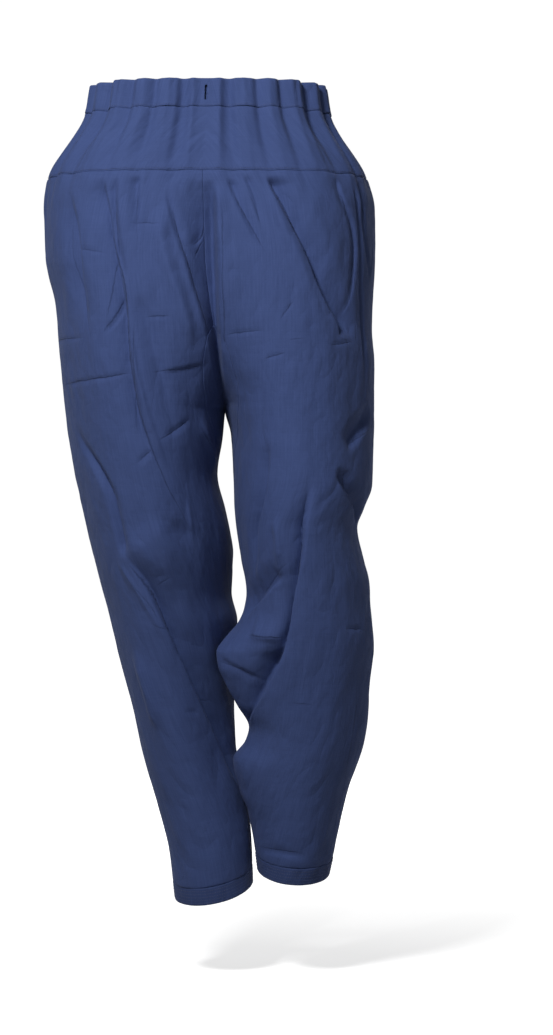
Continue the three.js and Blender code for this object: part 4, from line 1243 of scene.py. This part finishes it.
def cotton(name, share, presses=0):
    """Plain-woven cotton: threads, uneven yarn down the cloth, a soft nap and faint creasing, with
    painted shade darkening the pressed creases where there are any.
    """
    nodes = Nodes(name)
    chart = nodes.layer("chart")
    split = nodes.add("ShaderNodeSeparateXYZ", {}, {"Vector": chart})
    threads_turn = 2 * math.pi / (THREAD_PAIR * MM)
    warp, weft = (
        nodes.math("SINE", nodes.math("MULTIPLY", split.outputs[axis], threads_turn))
        for axis in ("X", "Y"))
    weave = nodes.math("MULTIPLY", warp, weft)
    slub = nodes.noise(chart, 800, 22, 3)
    cross_slub = nodes.noise(chart, 24, 820, 3)
    streak = nodes.noise(chart, 150, 9, 2)
    yarn = nodes.total((slub, 0.55), (streak, 0.12), (cross_slub, 0.25), (weave, 0.05))
    spread = nodes.span(yarn, 0.26, 0.68, 0.0, 1.0)
    color = nodes.mix(spread, rgba(BASE, share * 0.88), rgba(PALE, share))
    worn = nodes.span(nodes.noise(chart, 11, 9, 3), 0.3, 0.7, 0.0, 0.22)
    color = nodes.mix(worn, color, rgba(PALE, share * 1.06))
    crinkle = nodes.noise(chart, 120, 95, 4)
    normal = nodes.bump(crinkle, 1.2 * MM, 0.4)
    normal = nodes.bump(nodes.folds(chart, 27, 15), 7.0 * MM, 0.8, normal)
    normal = nodes.bump(nodes.folds(chart, 75, 48), 1.6 * MM, 0.7, normal)
    if presses:
        crease_and_shade_mask = pressed_lines(nodes, chart, presses)
        # Painted shade: along the pressed creases the colour is darkened towards 0.3 of the base
        # colour.
        color = nodes.mix(nodes.math("MULTIPLY", crease_and_shade_mask, 0.7), color, rgba(BASE, 0.3))
        normal = nodes.bump(nodes.math("MULTIPLY", crease_and_shade_mask, -1.0), 1.2 * MM, 0.6, normal)
    normal = nodes.bump(slub, 0.35 * MM, 0.5, normal)
    normal = nodes.bump(weave, 0.06 * MM, 0.5, normal)
    nap = nodes.noise(chart, 1500, 1500, 2)
    return nodes.finish({
        "Base Color": color,
        "Normal": nodes.bump(nap, 0.08 * MM, 0.4, normal),
        "Roughness": 0.82,
        "Specular IOR Level": 0.12,
        "Sheen Weight": 0.06,
        "Sheen Roughness": 0.5,
        "Sheen Tint": (0.55, 0.65, 1.0, 1.0),
    })


def sewing_thread():
    nodes = Nodes("blue_sewing_thread")
    place = nodes.add("ShaderNodeTexCoord", {}, {}).outputs["Object"]
    twist = nodes.noise(place, 3000, 3000, 1)
    return nodes.finish({
        "Base Color": nodes.mix(twist, rgba(THREAD, 0.8), rgba(THREAD, 1.3)),
        "Normal": nodes.bump(twist, 0.08 * MM, 0.5),
        "Roughness": 0.6,
        "Specular IOR Level": 0.3,
        "Sheen Weight": 0.1,
    })


def plain_pale(name, color, glow):
    """A plain pale surface whose glow rises from the first value, near the middle, to the last."""
    nodes = Nodes(name)
    place = nodes.add("ShaderNodeTexCoord", {}, {}).outputs["Object"]
    away = nodes.add("ShaderNodeVectorMath", {"operation": "LENGTH"}, {0: place})
    return nodes.finish({
        "Base Color": rgba(color),
        "Roughness": 0.9,
        "Specular IOR Level": 0.0,
        "Emission Color": (1.0, 1.0, 1.0, 1.0),
        "Emission Strength": nodes.span(away.outputs["Value"], GLOW_NEAR, GLOW_FAR, *glow),
    })


leg_cotton = cotton("blue_cotton_body", 1.0)
front_cottons = {
    leg.name: cotton(f"blue_cotton_front_{leg.name}", 1.0, len(leg.press_layers()))
    for leg in (RIGHT, LEFT)
}
# Painted shade: the hem band's cotton is the same cloth painted at 0.84 of the body's colour, darker as
# shade on the lower edge.
hem_cotton_painted_shade = cotton("blue_cotton_hem", 0.84)
thread = sewing_thread()


def dress(piece, material):
    piece.data.materials.append(material)
    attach(piece, BODY)
    return piece


def threads(name, rows):
    return dress(stitches(name, rows), thread)


# Waist
for half, side in enumerate(HALVES):
    dress(casing(half), leg_cotton)
    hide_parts(f"waist_casing_{side}")
    casing_row = round_row(half, -CASING_HEIGHT + CASING_ROW, SEEDS["casing"])
    casing_thread = threads(f"waist_casing_{side}_stitches", [casing_row])
    dress(yoke(half), leg_cotton)
    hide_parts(f"yoke_{side}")
    yoke_row = round_row(half, YOKE_BOTTOM + YOKE_ROW, SEEDS["yoke"])
    yoke_thread = threads(f"yoke_{side}_stitches", [yoke_row])

# Legs
for leg in (RIGHT, LEFT):
    for cut in [row for row in LEG_CUTS if row["leg"] == leg.name]:
        half = HALVES.index(cut["side"])
        cloth = dress(panel(leg, half), leg_cotton if half else front_cottons[leg.name])
        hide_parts(f"leg_{leg.name}_{cut['side']}")
    band = dress(hem_band(leg), hem_cotton_painted_shade)
    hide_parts(f"hem_{leg.name}")
    around = np.linspace(0, 2, HEM_ROW_POINTS)
    hem_rows = [
        surface_row(leg, leg.hem + HEM_FIRST_ROW + HEM_ROW_SPACING * i, around, SEEDS["hem"])
        for i in range(HEM_ROWS)
    ]
    hem_thread = threads(f"hem_{leg.name}_stitches", hem_rows)

# Gusset
diamond = dress(gusset(), leg_cotton)
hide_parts("gusset")

# Floor, backdrop and light
bpy.ops.mesh.primitive_circle_add(
    vertices=96, radius=FLOOR_RADIUS, fill_type="NGON", location=(0, 0, FLOOR * MM))
floor = bpy.context.object
floor.name = "floor"
floor.visible_diffuse = False
floor.data.materials.append(plain_pale("pale_floor", (0.82, 0.82, 0.82), (0.55, 1.0)))
bpy.ops.mesh.primitive_uv_sphere_add(
    segments=64, ring_count=32, radius=BACKDROP_RADIUS, location=(0, 0, -0.5))
backdrop = bpy.context.object
backdrop.name = "backdrop"
backdrop.data.materials.append(plain_pale("white_backdrop", (0, 0, 0), (1.02, 1.02)))
for ray in ("diffuse", "glossy", "transmission", "volume_scatter", "shadow"):
    setattr(backdrop, f"visible_{ray}", False)

world = bpy.data.worlds.new("studio")
world.use_nodes = True
world.node_tree.nodes["Background"].inputs["Color"].default_value = (1, 1, 1, 1)
world.node_tree.nodes["Background"].inputs["Strength"].default_value = WORLD_LIGHT
bpy.context.scene.world = world

for box in SOFTBOXES:
    data = bpy.data.lights.new(box["name"], "AREA")
    data.energy = box["power"]
    data.size = box["size"]
    lamp = bpy.data.objects.new(box["name"], data)
    lamp.location = (box["x"], box["y"], box["z"])
    look = Vector((box["lookX"], box["lookY"], box["lookZ"]))
    lamp.rotation_euler = (look - lamp.location).to_track_quat("-Z", "Y").to_euler()
    lamp.visible_camera = False
    bpy.context.collection.objects.link(lamp)

# Camera
lens = bpy.data.cameras.new("photo_eye")
lens.sensor_width = SENSOR
lens.lens = SENSOR * EYE["distance"] / (PHOTO_HEIGHT * MM_PER_PIXEL)
lens.clip_end = 60
eye = bpy.data.objects.new("photo_eye", lens)
eye.location = (EYE["x"] * MM, -EYE["distance"] * MM, EYE["z"] * MM)
eye.rotation_euler = (math.radians(90), 0, 0)
bpy.context.collection.objects.link(eye)
bpy.context.scene.camera = eye
bpy.context.scene.view_settings.view_transform = "Standard"
